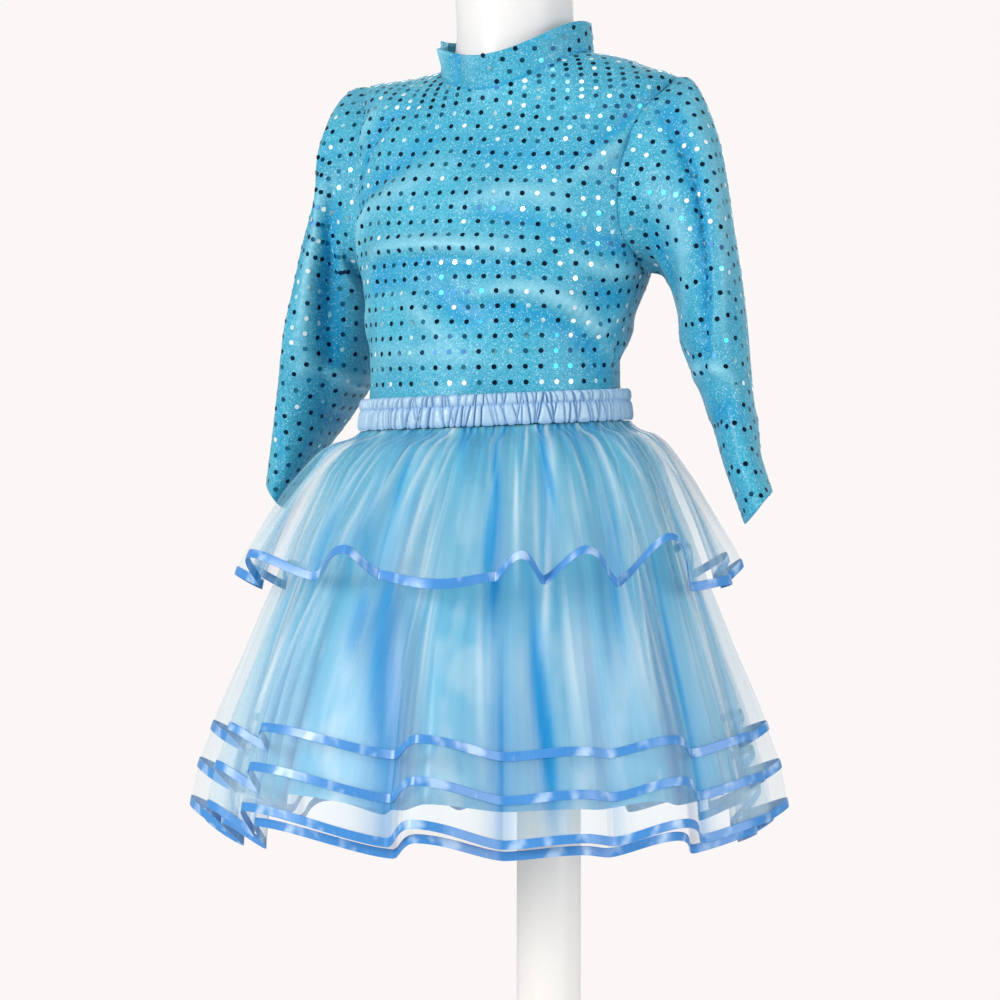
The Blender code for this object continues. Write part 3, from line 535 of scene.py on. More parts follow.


# the stretch knit: blue yarn with fine glitter, softly uneven in tone, with a painted highlight on its fold
# ridges and painted shade in its fold hollows
knit, tree, shader = new_material("glitter_knit", KNIT_PALE, 0.42, {
    "Sheen Weight": 0.16, "Sheen Roughness": 0.40, "Sheen Tint": (0.85, 0.97, 1.0, 1.0),
    "Specular IOR Level": 0.35})
specks = add_group(tree, glitter, size=GLITTER_SIZE)
clouds = add_group(tree, surface_noise, size=KNIT_CLOUD_SIZE).outputs["Value"]
waves = add_group(tree, surface_noise, size=KNIT_WAVE_SIZE).outputs["Value"]
tone = ramp_between(tree, specks.outputs["Value"], KNIT_DEEP, KNIT_PALE, 0.05, 1.0)
tone = mix_colours(tree, 1.0, tone, ramp_between(tree, clouds, *KNIT_CLOUDS, 0.3, 0.7), "MULTIPLY")
# painted highlight on the fold ridges, then painted shade in the fold hollows
tone = mix_colours(tree, read_value(tree, "pale"), tone, KNIT_RIDGE_HIGHLIGHT)
tone = mix_colours(tree, read_value(tree, "painted_shade"), tone, KNIT_HOLLOW_SHADE)
# the rarest specks painted pale, as glints of the glitter
tone = mix_colours(tree, specks.outputs["Bright"], tone, GLITTER_GLINT)
tree.links.new(tone, shader.inputs["Base Color"])
fine = add_bump(tree, specks.outputs["Value"], shader, 0.00025, 0.5)
broad = new_node(tree, "ShaderNodeBump", {"Distance": KNIT_WAVE_HEIGHT, "Height": waves})
tree.links.new(broad.outputs["Normal"], fine.inputs["Normal"])


def dress_sheet(piece, node, wall=None):
    """Gives a finished cloth piece its wall, if it is given one, hides the node it stands in for and lets it
    ride on the body.
    """
    if wall:
        solid = piece.modifiers.new("wall", "SOLIDIFY")
        solid.thickness = wall
        solid.offset = -1.0
    stand_in(piece, node)


def keep_painted_fold_light(piece, relief):
    """Marks the ridges and hollows of the folds, where the knit gets a painted highlight and painted shade.
    """
    keep_values(piece, "pale", np.clip(relief / FOLD_PAINTED_LIGHT_RELIEF[0], 0.0, 1.0))
    keep_values(piece, "painted_shade", np.clip(-relief / FOLD_PAINTED_LIGHT_RELIEF[1], 0.0, 1.0))


def panel_edge(where, side):
    """Angle from a panel's middle to its edge: the side or shoulder seam, less the armhole."""
    edges = row_between(TORSO, where)[:, LEFT_EDGE if side > 0 else RIGHT_EDGE]
    return np.where((where > UNDERARM) & (where < SHOULDER_TIP), edges, 90.0)


panel_places = np.concatenate([np.linspace(1.0, UNDERARM, 60)[:-1],
                               np.linspace(UNDERARM, SHOULDER_TIP, 70)[:-1],
                               np.linspace(SHOULDER_TIP, NECKLINE, 26)])
knit_surfaces = {}
for name, node, facing, ahead, folds in (
        ("front_panel", "top_front", 0.0, 1, FRONT_FOLDS),
        ("back_panel", "top_back", 180.0, -1, BACK_FOLDS)):
    first = panel_edge(panel_places, -ahead)[:, None]
    last = panel_edge(panel_places, ahead)[:, None]
    turn = -first + (first + last) * np.linspace(0.0, 1.0, PANEL_COLUMNS + 1)
    grid = torso_grid(facing + turn, panel_places) + (0.0, -ahead * SIDE_SEAM_SHIFT, 0.0)
    relief = FOLD_FULLNESS * fold_relief(facing + turn, grid[..., 2], folds, TORSO_RADIUS)
    from_seam = np.radians(np.minimum(turn + first, last - turn)) * TORSO_RADIUS
    relief = sink_seam(relief, from_seam, SEAM_FADE, SEAM_DIP_WIDTH)
    grid = grid + outward_normals(grid, False) * relief[..., None]
    panel = grid_mesh(name, grid, False, knit, cloth_lengths(grid, False, PANEL_COLUMNS // 2))
    knit_surfaces[name] = panel.data.copy()
    keep_painted_fold_light(panel, relief)
    dress_sheet(panel, node, KNIT_WALL)

# Sleeves
# Long set-in sleeves of the same knit, each one piece with an underarm seam. They hang empty,
# so each has a deep upright fold and a buckle at the elbow, and the cuff lies nearly flat.
SLEEVE_SIDE_GAP = -0.0010
SLEEVE_ROW_LENGTH = 0.030
SLEEVE_ROW_STEPS = 13
SLEEVE_BLEND = ((0.0, 1.0, 2.0, 3.0, 4.0), (0.0, 0.25, 0.6, 0.85, 1.0))
SLEEVE_HALF_LOOP = 36
SLEEVE_RADIUS = 0.045
SLEEVE_SEAM_FADE = 0.5
SLEEVE_SEAM_WIDTH = 0.12
SLEEVE_LEFT = np.array((
    # outer_x, outer_z, inner_x, inner_z, middle_y, half_depth, turn
    (0.1260, 0.8800, 0.1050, 0.7475, -0.032, 0.046, 20),
    (0.1420, 0.8570, 0.1090, 0.7460, -0.032, 0.049, 20),
    (0.1545, 0.8250, 0.1130, 0.7430, -0.033, 0.051, 20),
    (0.1620, 0.7850, 0.1175, 0.7360, -0.034, 0.050, 20),
    (0.1692, 0.7450, 0.1225, 0.7200, -0.035, 0.048, 20),
    (0.1742, 0.7120, 0.1255, 0.7000, -0.037, 0.045, 20),
    (0.1770, 0.6850, 0.1360, 0.6770, -0.038, 0.042, 20),
    (0.1822, 0.6570, 0.1510, 0.6480, -0.044, 0.038, 20),
    (0.1890, 0.6280, 0.1630, 0.6180, -0.050, 0.034, 20),
    (0.2000, 0.6030, 0.1800, 0.5810, -0.056, 0.031, 20),
))
SLEEVE_RIGHT = np.array((
    (0.1390, 0.8830, 0.1055, 0.7475, -0.031, 0.047, 20),
    (0.1440, 0.8560, 0.1100, 0.7460, -0.031, 0.045, 20),
    (0.1405, 0.8180, 0.1135, 0.7430, -0.031, 0.041, 20),
    (0.1470, 0.7820, 0.1155, 0.7360, -0.031, 0.041, 20),
    (0.1550, 0.7450, 0.1170, 0.7200, -0.030, 0.044, 20),
    (0.1640, 0.7120, 0.1200, 0.7000, -0.030, 0.045, 18),
    (0.1715, 0.6850, 0.1260, 0.6770, -0.030, 0.042, 14),
    (0.1805, 0.6550, 0.1415, 0.6480, -0.030, 0.038, 6),
    (0.1925, 0.6250, 0.1600, 0.6180, -0.030, 0.034, -10),
    (0.1975, 0.6030, 0.1820, 0.5830, -0.033, 0.031, -22),
))
SLEEVE_LEFT_FOLDS = (
    # turn round the arm from its outside over the front, and place down the sleeve
    (40, 1.0, 70, 3.2, 112, 6.8, -0.0078, 0.0088),
    (16, 1.2, 44, 3.6, 76, 6.2, 0.0022, 0.0110),
    (108, 1.4, 112, 3.4, 142, 5.4, 0.0026, 0.0100),
    (66, 7.2, 110, 6.8, 160, 7.0, 0.0042, 0.0080),
    (60, 8.0, 100, 7.8, 150, 8.1, -0.0030, 0.0080),
    (130, 1.0, 142, 2.4, 150, 4.2, -0.0026, 0.0080),
    (300, 1.0, 290, 3.6, 276, 6.4, -0.0040, 0.0100),
    (250, 1.4, 244, 3.4, 232, 6.0, 0.0024, 0.0100),
    (20, 7.6, 340, 8.2, 300, 8.8, 0.0016, 0.0090),
)
SLEEVE_RIGHT_FOLDS = (
    (118, 1.2, 130, 3.6, 148, 7.0, -0.0072, 0.0110),
    (92, 1.4, 98, 3.8, 114, 6.8, 0.0036, 0.0110),
    (150, 1.4, 160, 3.4, 172, 6.2, 0.0016, 0.0090),
    (66, 1.0, 66, 3.0, 74, 5.6, -0.0018, 0.0080),
    (70, 7.6, 84, 8.4, 96, 9.2, -0.0018, 0.0080),
    (120, 6.6, 150, 7.0, 172, 7.6, 0.0022, 0.0090),
    (146, 6.9, 178, 7.1, 204, 7.2, 0.0050, 0.0060),
    (146, 7.8, 178, 8.0, 204, 8.1, -0.0026, 0.0065),
    (288, 1.0, 282, 3.4, 270, 6.2, -0.0040, 0.0100),
    (240, 1.4, 238, 3.8, 226, 6.4, 0.0022, 0.0100),
    (20, 6.8, 344, 7.4, 308, 8.2, 0.0018, 0.0090),
)


def armhole_loop(side):
    """The armhole from the shoulder tip down the front to the underarm and up the back."""
    places = np.linspace(UNDERARM, SHOULDER_TIP, SLEEVE_HALF_LOOP + 1)
    edge = panel_edge(places, side)[:, None]
    front = torso_grid(side * edge, places)[:, 0]
    behind = torso_grid(side * (180.0 - edge), places)[:, 0]
    loop = np.concatenate([front[::-1], behind[1:-1]])
    return loop + (side * SLEEVE_SIDE_GAP, 0.0, 0.0)


def sleeve_grid(table, side, folds):
    """A sleeve from its armhole down to the cuff, bent through the rings of its table."""
    loop = armhole_loop(side)
    turn = np.linspace(0.0, 2 * math.pi, len(loop), endpoint=False)[:, None]
    knots = [loop]
    for index, (outer_x, outer_z, inner_x, inner_z, middle_y, half_depth, twist) in enumerate(table):
        twist = math.radians(twist)
        ahead = np.array([side * math.sin(twist), -math.cos(twist), 0.0])
        outer = np.array([side * outer_x, middle_y, outer_z])
        inner = np.array([side * inner_x, middle_y, inner_z])
        oval = (outer - inner) / 2 * np.cos(turn) + ahead * half_depth * np.sin(turn)
        share = np.interp(index + 1, *SLEEVE_BLEND)
        knots.append((outer + inner) / 2 + (loop - loop.mean(axis=0)) * (1 - share) + oval * share)
    steps = np.linspace(0.0, len(table), SLEEVE_ROW_STEPS * len(table) + 1)
    grid = row_between(np.array(knots).reshape(len(knots), -1), steps).reshape(len(steps), -1, 3)
    down = steps[:, None]
    folds = np.array(folds, float)
    folds[:, 1:6:2] *= SLEEVE_ROW_LENGTH
    relief = fold_relief(np.degrees(turn).T, down * SLEEVE_ROW_LENGTH, folds, SLEEVE_RADIUS)
    relief = sink_seam(relief, down, SLEEVE_SEAM_FADE, SLEEVE_SEAM_WIDTH)
    if side < 0:
        grid, relief = grid[::-1], relief[::-1]
    return grid + outward_normals(grid, True) * relief[..., None], relief


for name, node, table, side, folds in (
        ("left_sleeve", "sleeve_left", SLEEVE_LEFT, 1, SLEEVE_LEFT_FOLDS),
        ("right_sleeve", "sleeve_right", SLEEVE_RIGHT, -1, SLEEVE_RIGHT_FOLDS)):
    grid, relief = sleeve_grid(table, side, folds)
    sleeve = grid_mesh(name, grid, True, knit, cloth_lengths(grid, True, 0))
    knit_surfaces[name] = sleeve.data.copy()
    keep_painted_fold_light(sleeve, relief)
    dress_sheet(sleeve, node, KNIT_WALL)

# Collar
# A stand collar: one band of the knit, folded along its top edge and sewn round the neckline.
# It is looser than the neck, leans forward and has buckled at the wearer's right front.
COLLAR_FRONT_HEIGHT = 0.0245
COLLAR_BACK_HEIGHT = 0.020
COLLAR_WALL = 0.0012
COLLAR_SETTLE = 0.0022
# width and strength of the painted shade along the collar's seam
COLLAR_SEAM_SHADE = 0.0022
COLLAR_SEAM_SHADE_STRENGTH = 0.9
COLLAR_LEAN = -0.23
COLLAR_DENT_ANGLE = -62.0
COLLAR_DENT_WIDTH = 24.0
COLLAR_DENT_DEPTH = 0.007
COLLAR_GAP = 0.0001
COLLAR_BUCKLE = (
    # angle, half width in degrees, how far the top edge stands out
    (-42.0, 6.0, 0.0048),
    (-25.0, 4.5, -0.0048),
    (-12.0, 6.0, 0.0016),
    (32.0, 9.0, -0.0010),
)
COLLAR_COLUMNS = 240
COLLAR_ROWS = 14
collar_angle = np.linspace(0.0, 360.0, COLLAR_COLUMNS, endpoint=False)
share = np.linspace(0.0, 1.0, COLLAR_ROWS)[:, None]
neckline = torso_grid(collar_angle, np.array([NECKLINE]))[0]
outwards = (neckline - (0.0, TORSO[-1][4], 0.0)) * (1.0, 1.0, 0.0)
outwards /= np.linalg.norm(outwards, axis=1, keepdims=True)
ahead = (1.0 + np.cos(np.radians(collar_angle))) / 2
height = (COLLAR_BACK_HEIGHT + (COLLAR_FRONT_HEIGHT - COLLAR_BACK_HEIGHT) * ahead) * share + COLLAR_GAP
nearness = np.clip(1.0 - np.abs(apart(collar_angle, COLLAR_DENT_ANGLE)) / COLLAR_DENT_WIDTH, 0.0, 1.0)
dent = COLLAR_DENT_DEPTH * share * np.sin(nearness * math.pi / 2) ** 2
relief = np.zeros_like(dent)
for middle, half_width, stand_out in COLLAR_BUCKLE:
    relief = relief + stand_out * share * np.exp(-(apart(collar_angle, middle) / half_width) ** 2)
grid = neckline - (0.0, 0.0, COLLAR_SETTLE) + height[..., None] * (0.0, COLLAR_LEAN, 1.0)
grid = grid + (relief - dent)[..., None] * outwards
collar_band = grid_mesh("collar_band", grid, True, knit, cloth_lengths(grid, True, 0))
knit_surfaces["collar_band"] = collar_band.data.copy()
# painted shade along the seam at the collar's foot
seam_shade = np.exp(-((height - COLLAR_SETTLE) / COLLAR_SEAM_SHADE) ** 2)
keep_painted_fold_light(collar_band, relief - FOLD_PAINTED_LIGHT_RELIEF[1] * COLLAR_SEAM_SHADE_STRENGTH * seam_shade)
dress_sheet(collar_band, "collar",
            COLLAR_WALL)

# Foil dots
# Flat round dots of dark blue foil, about 3.4 mm, are heat set on the knit in a square grid of
# 10.4 mm before it is cut. They mirror the lights; besides that, a share of them is painted bluer,
# pale or white as painted reflections and flashes, and the rest stay dark.
DOT_RADIUS = 0.0017
DOT_PITCH = 0.0104
DOT_LIFT = 0.00022
DOT_TILT = math.radians(3.5)
DOT_SIDES = 14
DOT_SPARE_WIDTH = 0.05
DOT_SPARE_LENGTH = 0.08
DOT_TURNS = (
    # sheet, and how far its grid is turned against the cloth, in radians
    ("front_panel", 0.02),
    ("back_panel", 0.02),
    ("left_sleeve", -0.18),
    ("right_sleeve", 0.10),
    ("collar_band", 0.40),
)
# the dots' tones: the lowest two are the foil's own dark blue; the bluer, pale and white ones above are
# painted reflections and flashes, and the flashes are made less metallic
FOIL_PAINTED_FLASH = 0.86
FOIL_PAINTED_FLASH_METAL = 0.25
FOIL_FLASH_PATCHINESS = 0.9
FOIL_FLASH_PATCH_SIZE = 0.030
FOIL_TONES_AND_FLASHES = (
    (0.0, (0.008, 0.024, 0.055)),
    (0.48, (0.014, 0.050, 0.100)),
    (0.60, (0.016, 0.130, 0.250)),
    (0.78, (0.040, 0.330, 0.500)),
    (0.87, (0.42, 0.76, 0.84)),
    (0.94, (0.86, 0.95, 0.97)),
)


def end_tree(tree, copies, into, out):
    """Ends a geometry node tree: its copies are made real and given their material."""
    real = new_node(tree, "GeometryNodeRealizeInstances", {"Geometry": copies})
    finish = new_node(tree, "GeometryNodeSetMaterial", {
        "Geometry": real.outputs["Geometry"], "Material": into["Material"]})
    tree.links.new(finish.outputs["Geometry"], out.inputs["Geometry"])
    return tree


def dots_tree():
    """Geometry nodes that lay a square grid of dots on a sheet by its cloth map."""
    tree, into, out = socket_group("foil_dots", (
        ("Geometry", "Geometry", None), ("Half Width", "Float", 0.2), ("Half Length", "Float", 0.2),
        ("Middle Length", "Float", 0.2), ("Pitch", "Float", DOT_PITCH), ("Turn", "Float", 0.0),
        ("Radius", "Float", DOT_RADIUS), ("Lift", "Float", DOT_LIFT), ("Tilt", "Float", DOT_TILT),
        ("Seed", "Int", 1), ("Material", "Material", None)), [("Geometry", "Geometry")], "GeometryNodeTree")
    pitch, steps = into["Pitch"], []
    for reach in ("Half Width", "Half Length"):
        whole = node_maths(tree, "MULTIPLY", into[reach], 2.0)
        steps.append(node_maths(tree, "ROUND", node_maths(tree, "DIVIDE", whole, pitch)))
    sizes = [node_maths(tree, "MULTIPLY", count, pitch) for count in steps]
    points = [node_maths(tree, "ADD", count, 1.0) for count in steps]
    lattice = new_node(tree, "GeometryNodeMeshGrid", {
        "Size X": sizes[0], "Size Y": sizes[1], "Vertices X": points[0], "Vertices Y": points[1]})
    turn = new_node(tree, "ShaderNodeCombineXYZ", {"Z": into["Turn"]})
    shift = new_node(tree, "ShaderNodeCombineXYZ", {"Y": into["Middle Length"]})
    turned = new_node(tree, "GeometryNodeTransform", {
        "Geometry": lattice.outputs["Mesh"], "Rotation": turn.outputs[0], "Translation": shift.outputs[0]})

    # each point of the grid finds its place and its normal on the cloth
    cloth_map = new_node(tree, "GeometryNodeInputNamedAttribute", {"Name": "cloth"},
                         data_type="FLOAT_VECTOR").outputs["Attribute"]
    place = new_node(tree, "GeometryNodeInputPosition").outputs[0]
    facing = new_node(tree, "GeometryNodeInputNormal").outputs[0]
    on_cloth, normal = [new_node(tree, "GeometryNodeSampleUVSurface", {
        "Mesh": into["Geometry"], "Value": value, "Source UV Map": cloth_map, "Sample UV": place},
        data_type="FLOAT_VECTOR") for value in (place, facing)]
    lift = new_node(tree, "ShaderNodeVectorMath", {0: normal.outputs["Value"], "Scale": into["Lift"]},
                    operation="SCALE")
    above = new_node(tree, "ShaderNodeVectorMath", {0: on_cloth.outputs["Value"], 1: lift.outputs[0]})
    kept = new_node(tree, "GeometryNodeStoreNamedAttribute", {
        "Geometry": turned.outputs["Geometry"], "Name": "facing", "Value": normal.outputs["Value"]},
        data_type="FLOAT_VECTOR")
    outside = new_node(tree, "FunctionNodeBooleanMath", {0: on_cloth.outputs["Is Valid"]}, operation="NOT")
    marked = new_node(tree, "GeometryNodeStoreNamedAttribute", {
        "Geometry": kept.outputs["Geometry"], "Name": "off_cloth", "Value": outside.outputs[0]},
        data_type="BOOLEAN")
    placed = new_node(tree, "GeometryNodeSetPosition", {
        "Geometry": marked.outputs["Geometry"], "Position": above.outputs[0]})
    off_cloth = new_node(tree, "GeometryNodeInputNamedAttribute", {"Name": "off_cloth"}, data_type="BOOLEAN")
    cut = new_node(tree, "GeometryNodeDeleteGeometry", {
        "Geometry": placed.outputs["Geometry"], "Selection": off_cloth.outputs["Attribute"]})

    # each dot faces out of the cloth, with a small tilt of its own, and a random value of its own
    # that picks its dark tone or a painted reflection
    disc = new_node(tree, "GeometryNodeMeshCircle", {"Vertices": DOT_SIDES, "Radius": into["Radius"]},
                    fill_type="NGON")
    stored = new_node(tree, "GeometryNodeInputNamedAttribute", {"Name": "facing"}, data_type="FLOAT_VECTOR")
    upright = new_node(tree, "FunctionNodeAlignRotationToVector", {"Vector": stored.outputs["Attribute"]},
                       axis="Z")
    least, most = [new_node(tree, "ShaderNodeCombineXYZ", {"X": tilt, "Y": tilt}).outputs[0]
                   for tilt in (node_maths(tree, "MULTIPLY", into["Tilt"], -1.0), into["Tilt"])]
    spread = new_node(tree, "FunctionNodeRandomValue", {"Min": least, "Max": most, "Seed": into["Seed"]},
                      data_type="FLOAT_VECTOR")
    leaning = new_node(tree, "FunctionNodeEulerToRotation", {"Euler": spread.outputs["Value"]})
    turned_dot = new_node(tree, "FunctionNodeRotateRotation", {
        "Rotation": upright.outputs["Rotation"], "Rotate By": leaning.outputs["Rotation"]},
        rotation_space="LOCAL")
    copies = new_node(tree, "GeometryNodeInstanceOnPoints", {
        "Points": cut.outputs["Geometry"], "Instance": disc.outputs["Mesh"],
        "Rotation": turned_dot.outputs["Rotation"]})
    chance = new_node(tree, "FunctionNodeRandomValue", {"Seed": into["Seed"]}, data_type="FLOAT")
    toned = new_node(tree, "GeometryNodeStoreNamedAttribute", {
        "Geometry": copies.outputs["Instances"], "Name": "foil_tone_and_flash",
        "Value": [socket for socket in chance.outputs if socket.enabled][0]},
        data_type="FLOAT", domain="INSTANCE")
    return end_tree(tree, toned.outputs["Geometry"], into, out)


def grown_mesh(name, source, tree, finish, values):
    """Runs a geometry node tree on a mesh and returns what it makes as an object of its own."""
    holder = bpy.data.objects.new(name, source)
    scene.collection.objects.link(holder)
    modifier = holder.modifiers.new("make", "NODES")
    modifier.node_group = tree
    sockets = {item.name: item.identifier for item in tree.interface.items_tree
               if item.in_out == "INPUT"}
    for label, value in {**values, "Material": finish}.items():
        modifier[sockets[label]] = value
    depsgraph = bpy.context.evaluated_depsgraph_get()
    made = bpy.data.meshes.new_from_object(holder.evaluated_get(depsgraph))
    holder.modifiers.remove(modifier)
    holder.data = made
    if not made.materials:
        made.materials.append(finish)
    return holder


foil, tree, shader = new_material("dark_foil", FOIL_TONES_AND_FLASHES[0][1], 0.13)
# noise gathers the painted reflections and flashes into patches, on top of each dot's random value
uneven = add_group(tree, surface_noise, size=FOIL_FLASH_PATCH_SIZE).outputs["Value"]
tone = node_maths(tree, "MULTIPLY_ADD", uneven, FOIL_FLASH_PATCHINESS, read_value(tree, "foil_tone_and_flash"))
tone = node_maths(tree, "SUBTRACT", tone, FOIL_FLASH_PATCHINESS / 2)
foil_colour = new_node(tree, "ShaderNodeValToRGB", {"Fac": tone})
stops = foil_colour.color_ramp.elements
for position, colour in FOIL_TONES_AND_FLASHES:
    stops.new(position).color = (*colour, 1.0 if position < FOIL_PAINTED_FLASH else FOIL_PAINTED_FLASH_METAL)
stops.remove(stops[0])
stops.remove(stops[-1])
tree.links.new(foil_colour.outputs["Color"], shader.inputs["Base Color"])
tree.links.new(foil_colour.outputs["Alpha"], shader.inputs["Metallic"])

foil_dots = dots_tree()
for index, (name, turn) in enumerate(DOT_TURNS):
    surface = knit_surfaces[name]
    corners = np.zeros(len(surface.loops) * 2, np.float32)
    surface.uv_layers["cloth"].data.foreach_get("uv", corners)
    corners = corners.reshape(-1, 2)
    top, bottom = corners[:, 1].max(), corners[:, 1].min()
    dots = grown_mesh(name + "_dots", surface, foil_dots, foil, {
        "Half Width": float(np.abs(corners[:, 0]).max() + DOT_SPARE_WIDTH),
        "Half Length": float((top - bottom) / 2 + DOT_SPARE_LENGTH),
        "Middle Length": float((top + bottom) / 2), "Turn": turn, "Seed": index + 1})
    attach(dots, "root")

# Skirt layers
# Four layers are gathered into one waist: a satin lining, two long tiers of sheer organza and a
# short sheer upper tier. Each hem falls in soft flutes, and the tiers carry satin ribbons.
SEAM_GAP = 0.0003
BAND_TOP = 0.6665
BAND_HEIGHT = 0.0215
BAND_SLOPE = 0.045
WAIST_HALF_WIDTH = 0.0915
WAIST_HALF_DEPTH = 0.0738
LINING_CLEAR = 0.0017
LAYER_STEP = 0.00135
TIER_STEP = 0.0016
FLARE_STEP = 0.0012
LOWER_LENGTH = 0.292
INNER_EXTRA = 0.004
UPPER_LENGTH = 0.134
LINING_LENGTH = 0.262
STEEPEST = 0.95
WAIST_ROWS_END = 0.06
FLUTE_STEPS = 27
FLUTE_ROUNDNESS = 0.78
# painted shade in the flutes' valleys: the flute depth that gets all of it, how close it keeps to the
# valley, and how fast it grows down the layer
FLUTE_FULL_SHADE_DEPTH = 0.02
FLUTE_SHADE_SHARPNESS = 5
FLUTE_SHADE_GROWTH = 1.6
LOWER_PROFILE = np.array((
    # length, half_width, half_depth, middle_y, fold_share
    (0.000, 0.0000, 0.0000, -0.0660, 0.00),
    (0.034, 0.0180, 0.0195, -0.0680, 0.04),
    (0.085, 0.0380, 0.0435, -0.0705, 0.10),
    (0.160, 0.0625, 0.0730, -0.0740, 0.36),
    (0.242, 0.0870, 0.0970, -0.0760, 0.80),
    (0.292, 0.0960, 0.1070, -0.0770, 1.00),
))
UPPER_PROFILE = np.array((
    (0.000, 0.0000, 0.0000, -0.0660, 0.00),
    (0.031, 0.0212, 0.0235, -0.0685, 0.08),
    (0.062, 0.0385, 0.0440, -0.0710, 0.26),
    (0.098, 0.0535, 0.0655, -0.0730, 0.62),
    (0.134, 0.0655, 0.0820, -0.0745, 1.00),
))
LOWER_FLUTES = (
    # angle of the crest, how far it stands out at the hem, extra lift of the hem, then where
    # the valley after it lies on the way to the next crest, and how far out that is
    (-66, 0.013, 0.006, 0.80, -0.009),
    (-40, 0.013, 0.008, 0.66, -0.005),
    (-25, 0.015, 0.008, 0.80, -0.011),
    (12, 0.014, 0.004, 0.52, -0.010),
    (44, 0.003, 0.001, 0.32, 0.000),
    (64, 0.012, 0.005, 0.45, -0.010),
    (91, 0.013, 0.003, 0.50, -0.010),
    (114, 0.014, 0.004, 0.62, -0.010),
    (136, 0.013, 0.006, 0.42, -0.010),
    (157, 0.014, 0.003, 0.56, -0.010),
    (178, 0.013, 0.006, 0.40, -0.010),
    (199, 0.014, 0.004, 0.60, -0.010),
    (221, 0.013, 0.005, 0.48, -0.010),
    (242, 0.014, 0.003, 0.58, -0.010),
    (267, 0.013, 0.006, 0.50, -0.010),
)
UPPER_FLUTES = (
    (-63, 0.010, 0.000, 0.50, -0.004),
    (-38, 0.014, 0.002, 0.56, -0.005),
    (-6, 0.013, 0.001, 0.25, -0.005),
    (14, 0.006, -0.010, 0.70, -0.004),
    (33, 0.009, 0.004, 0.40, -0.005),
    (47, 0.012, 0.007, 0.48, -0.003),
    (68, 0.013, 0.016, 0.58, -0.005),
    (95, 0.009, -0.002, 0.50, -0.004),
    (115, 0.010, 0.004, 0.60, -0.005),
    (134, 0.012, 0.003, 0.42, -0.005),
    (152, 0.011, 0.006, 0.56, -0.005),
    (171, 0.012, 0.003, 0.40, -0.005),
    (189, 0.011, 0.005, 0.60, -0.005),
    (207, 0.012, 0.002, 0.46, -0.005),
    (225, 0.011, 0.006, 0.58, -0.005),
    (243, 0.012, 0.003, 0.44, -0.005),
    (261, 0.011, 0.004, 0.56, -0.005),
    (279, 0.011, 0.002, 0.50, -0.005),
)
CREASE_COUNT = 58
CREASE_SEED = 11
CREASE_DRIFT = 5.0
CREASE_WIDTH = (0.9, 2.6)
CREASE_HEIGHT = (0.0014, 0.0042)
CREASE_ENDS = (0.06, 0.10, 0.18, 0.45)
# strengths of the painted highlights along crease ridges, and their share of the crease's width
CREASE_HIGHLIGHTS = (0.0, 0.3, 0.6, 0.9)
CREASE_HIGHLIGHT_SHARE = 0.36
CREASE_SHARPNESS = 1.4
CREASE_SLOPE = 2.2
CREASE_HEM_SHARE = 0.10
CREASE_FADE = (0.5, 0.35)
GATHER_COUNT = 84
GATHER_DRIFT = 14.0
GATHER_WIDTH = (0.5, 1.25)
GATHER_DEPTH = (0.0010, 0.0028)
GATHER_LENGTH = (0.014, 0.056)
GATHER_SHARPNESS = 1.5
GATHER_SPREAD = 14.0
# strength of the painted shade in the gathers' grooves
GATHER_SHADE = 1.3
DRIFT_LENGTH = 0.1
TUCK_SHARE = 0.4
TUCK_LENGTH = 0.030
LONG_SPREAD = (0.4, 3.0)
RIDGE_SHARPNESS = 1.5
# strength of the painted highlight along the long ridges
RIDGE_HIGHLIGHT = 0.85
HOLLOW_SHARPNESS = 1.6
HOLLOW_DEPTH = 0.0020
# how fully the long hollows are painted in shade
HOLLOW_SHADE_FULLNESS = 1.5
HANGING_START = 0.35
HANGING_PALE = 0.80
HANGING_OPENNESS = 0.28
LONG_RIDGES = (
    # angle, turn for each 100 mm down, distance below the waist and half length of its middle,
    # half width, how far it stands out
    (3.5, 2.0, 0.200, 0.075, 1.3, 0.0022),
    (10.8, 0.0, 0.160, 0.060, 1.0, 0.0016),
    (23.0, 1.5, 0.175, 0.065, 1.2, 0.0022),
    (44.2, 1.0, 0.170, 0.070, 1.3, 0.0024),
    (66.0, 0.0, 0.170, 0.080, 1.2, 0.0018),
    (86.0, -1.0, 0.160, 0.070, 1.3, 0.0018),
    (-10.0, -1.5, 0.165, 0.060, 1.1, 0.0016),
    (-21.5, -2.0, 0.150, 0.060, 1.2, 0.0020),
    (-34.0, -2.0, 0.170, 0.070, 1.2, 0.0018),
    (-15.6, -3.0, 0.060, 0.035, 1.6, 0.0018),
    (-4.3, -2.0, 0.080, 0.045, 1.6, 0.0018),
    (6.0, 0.0, 0.085, 0.050, 1.6, 0.0016),
    (31.0, 1.0, 0.075, 0.045, 1.4, 0.0020),
    (36.5, 1.0, 0.080, 0.050, 1.2, 0.0018),
    (49.4, 2.0, 0.060, 0.040, 1.6, 0.0016),
    (74.0, 2.0, 0.070, 0.045, 1.6, 0.0016),
    (104.0, 1.0, 0.150, 0.070, 1.3, 0.0020),
    (118.0, -1.0, 0.070, 0.045, 1.6, 0.0016),
    (141.0, 1.5, 0.180, 0.070, 1.2, 0.0020),
    (157.0, 0.0, 0.080, 0.050, 1.5, 0.0018),
    (178.0, -1.5, 0.160, 0.080, 1.3, 0.0022),
    (197.0, 1.0, 0.070, 0.040, 1.6, 0.0016),
    (217.0, 2.0, 0.180, 0.070, 1.2, 0.0020),
    (240.0, 0.0, 0.080, 0.050, 1.5, 0.0018),
    (258.0, -1.0, 0.170, 0.075, 1.3, 0.0020),
    (285.0, 1.0, 0.090, 0.050, 1.4, 0.0018),
    (301.0, 2.0, 0.170, 0.070, 1.2, 0.0020),
    (318.0, -1.0, 0.075, 0.045, 1.5, 0.0016),
)
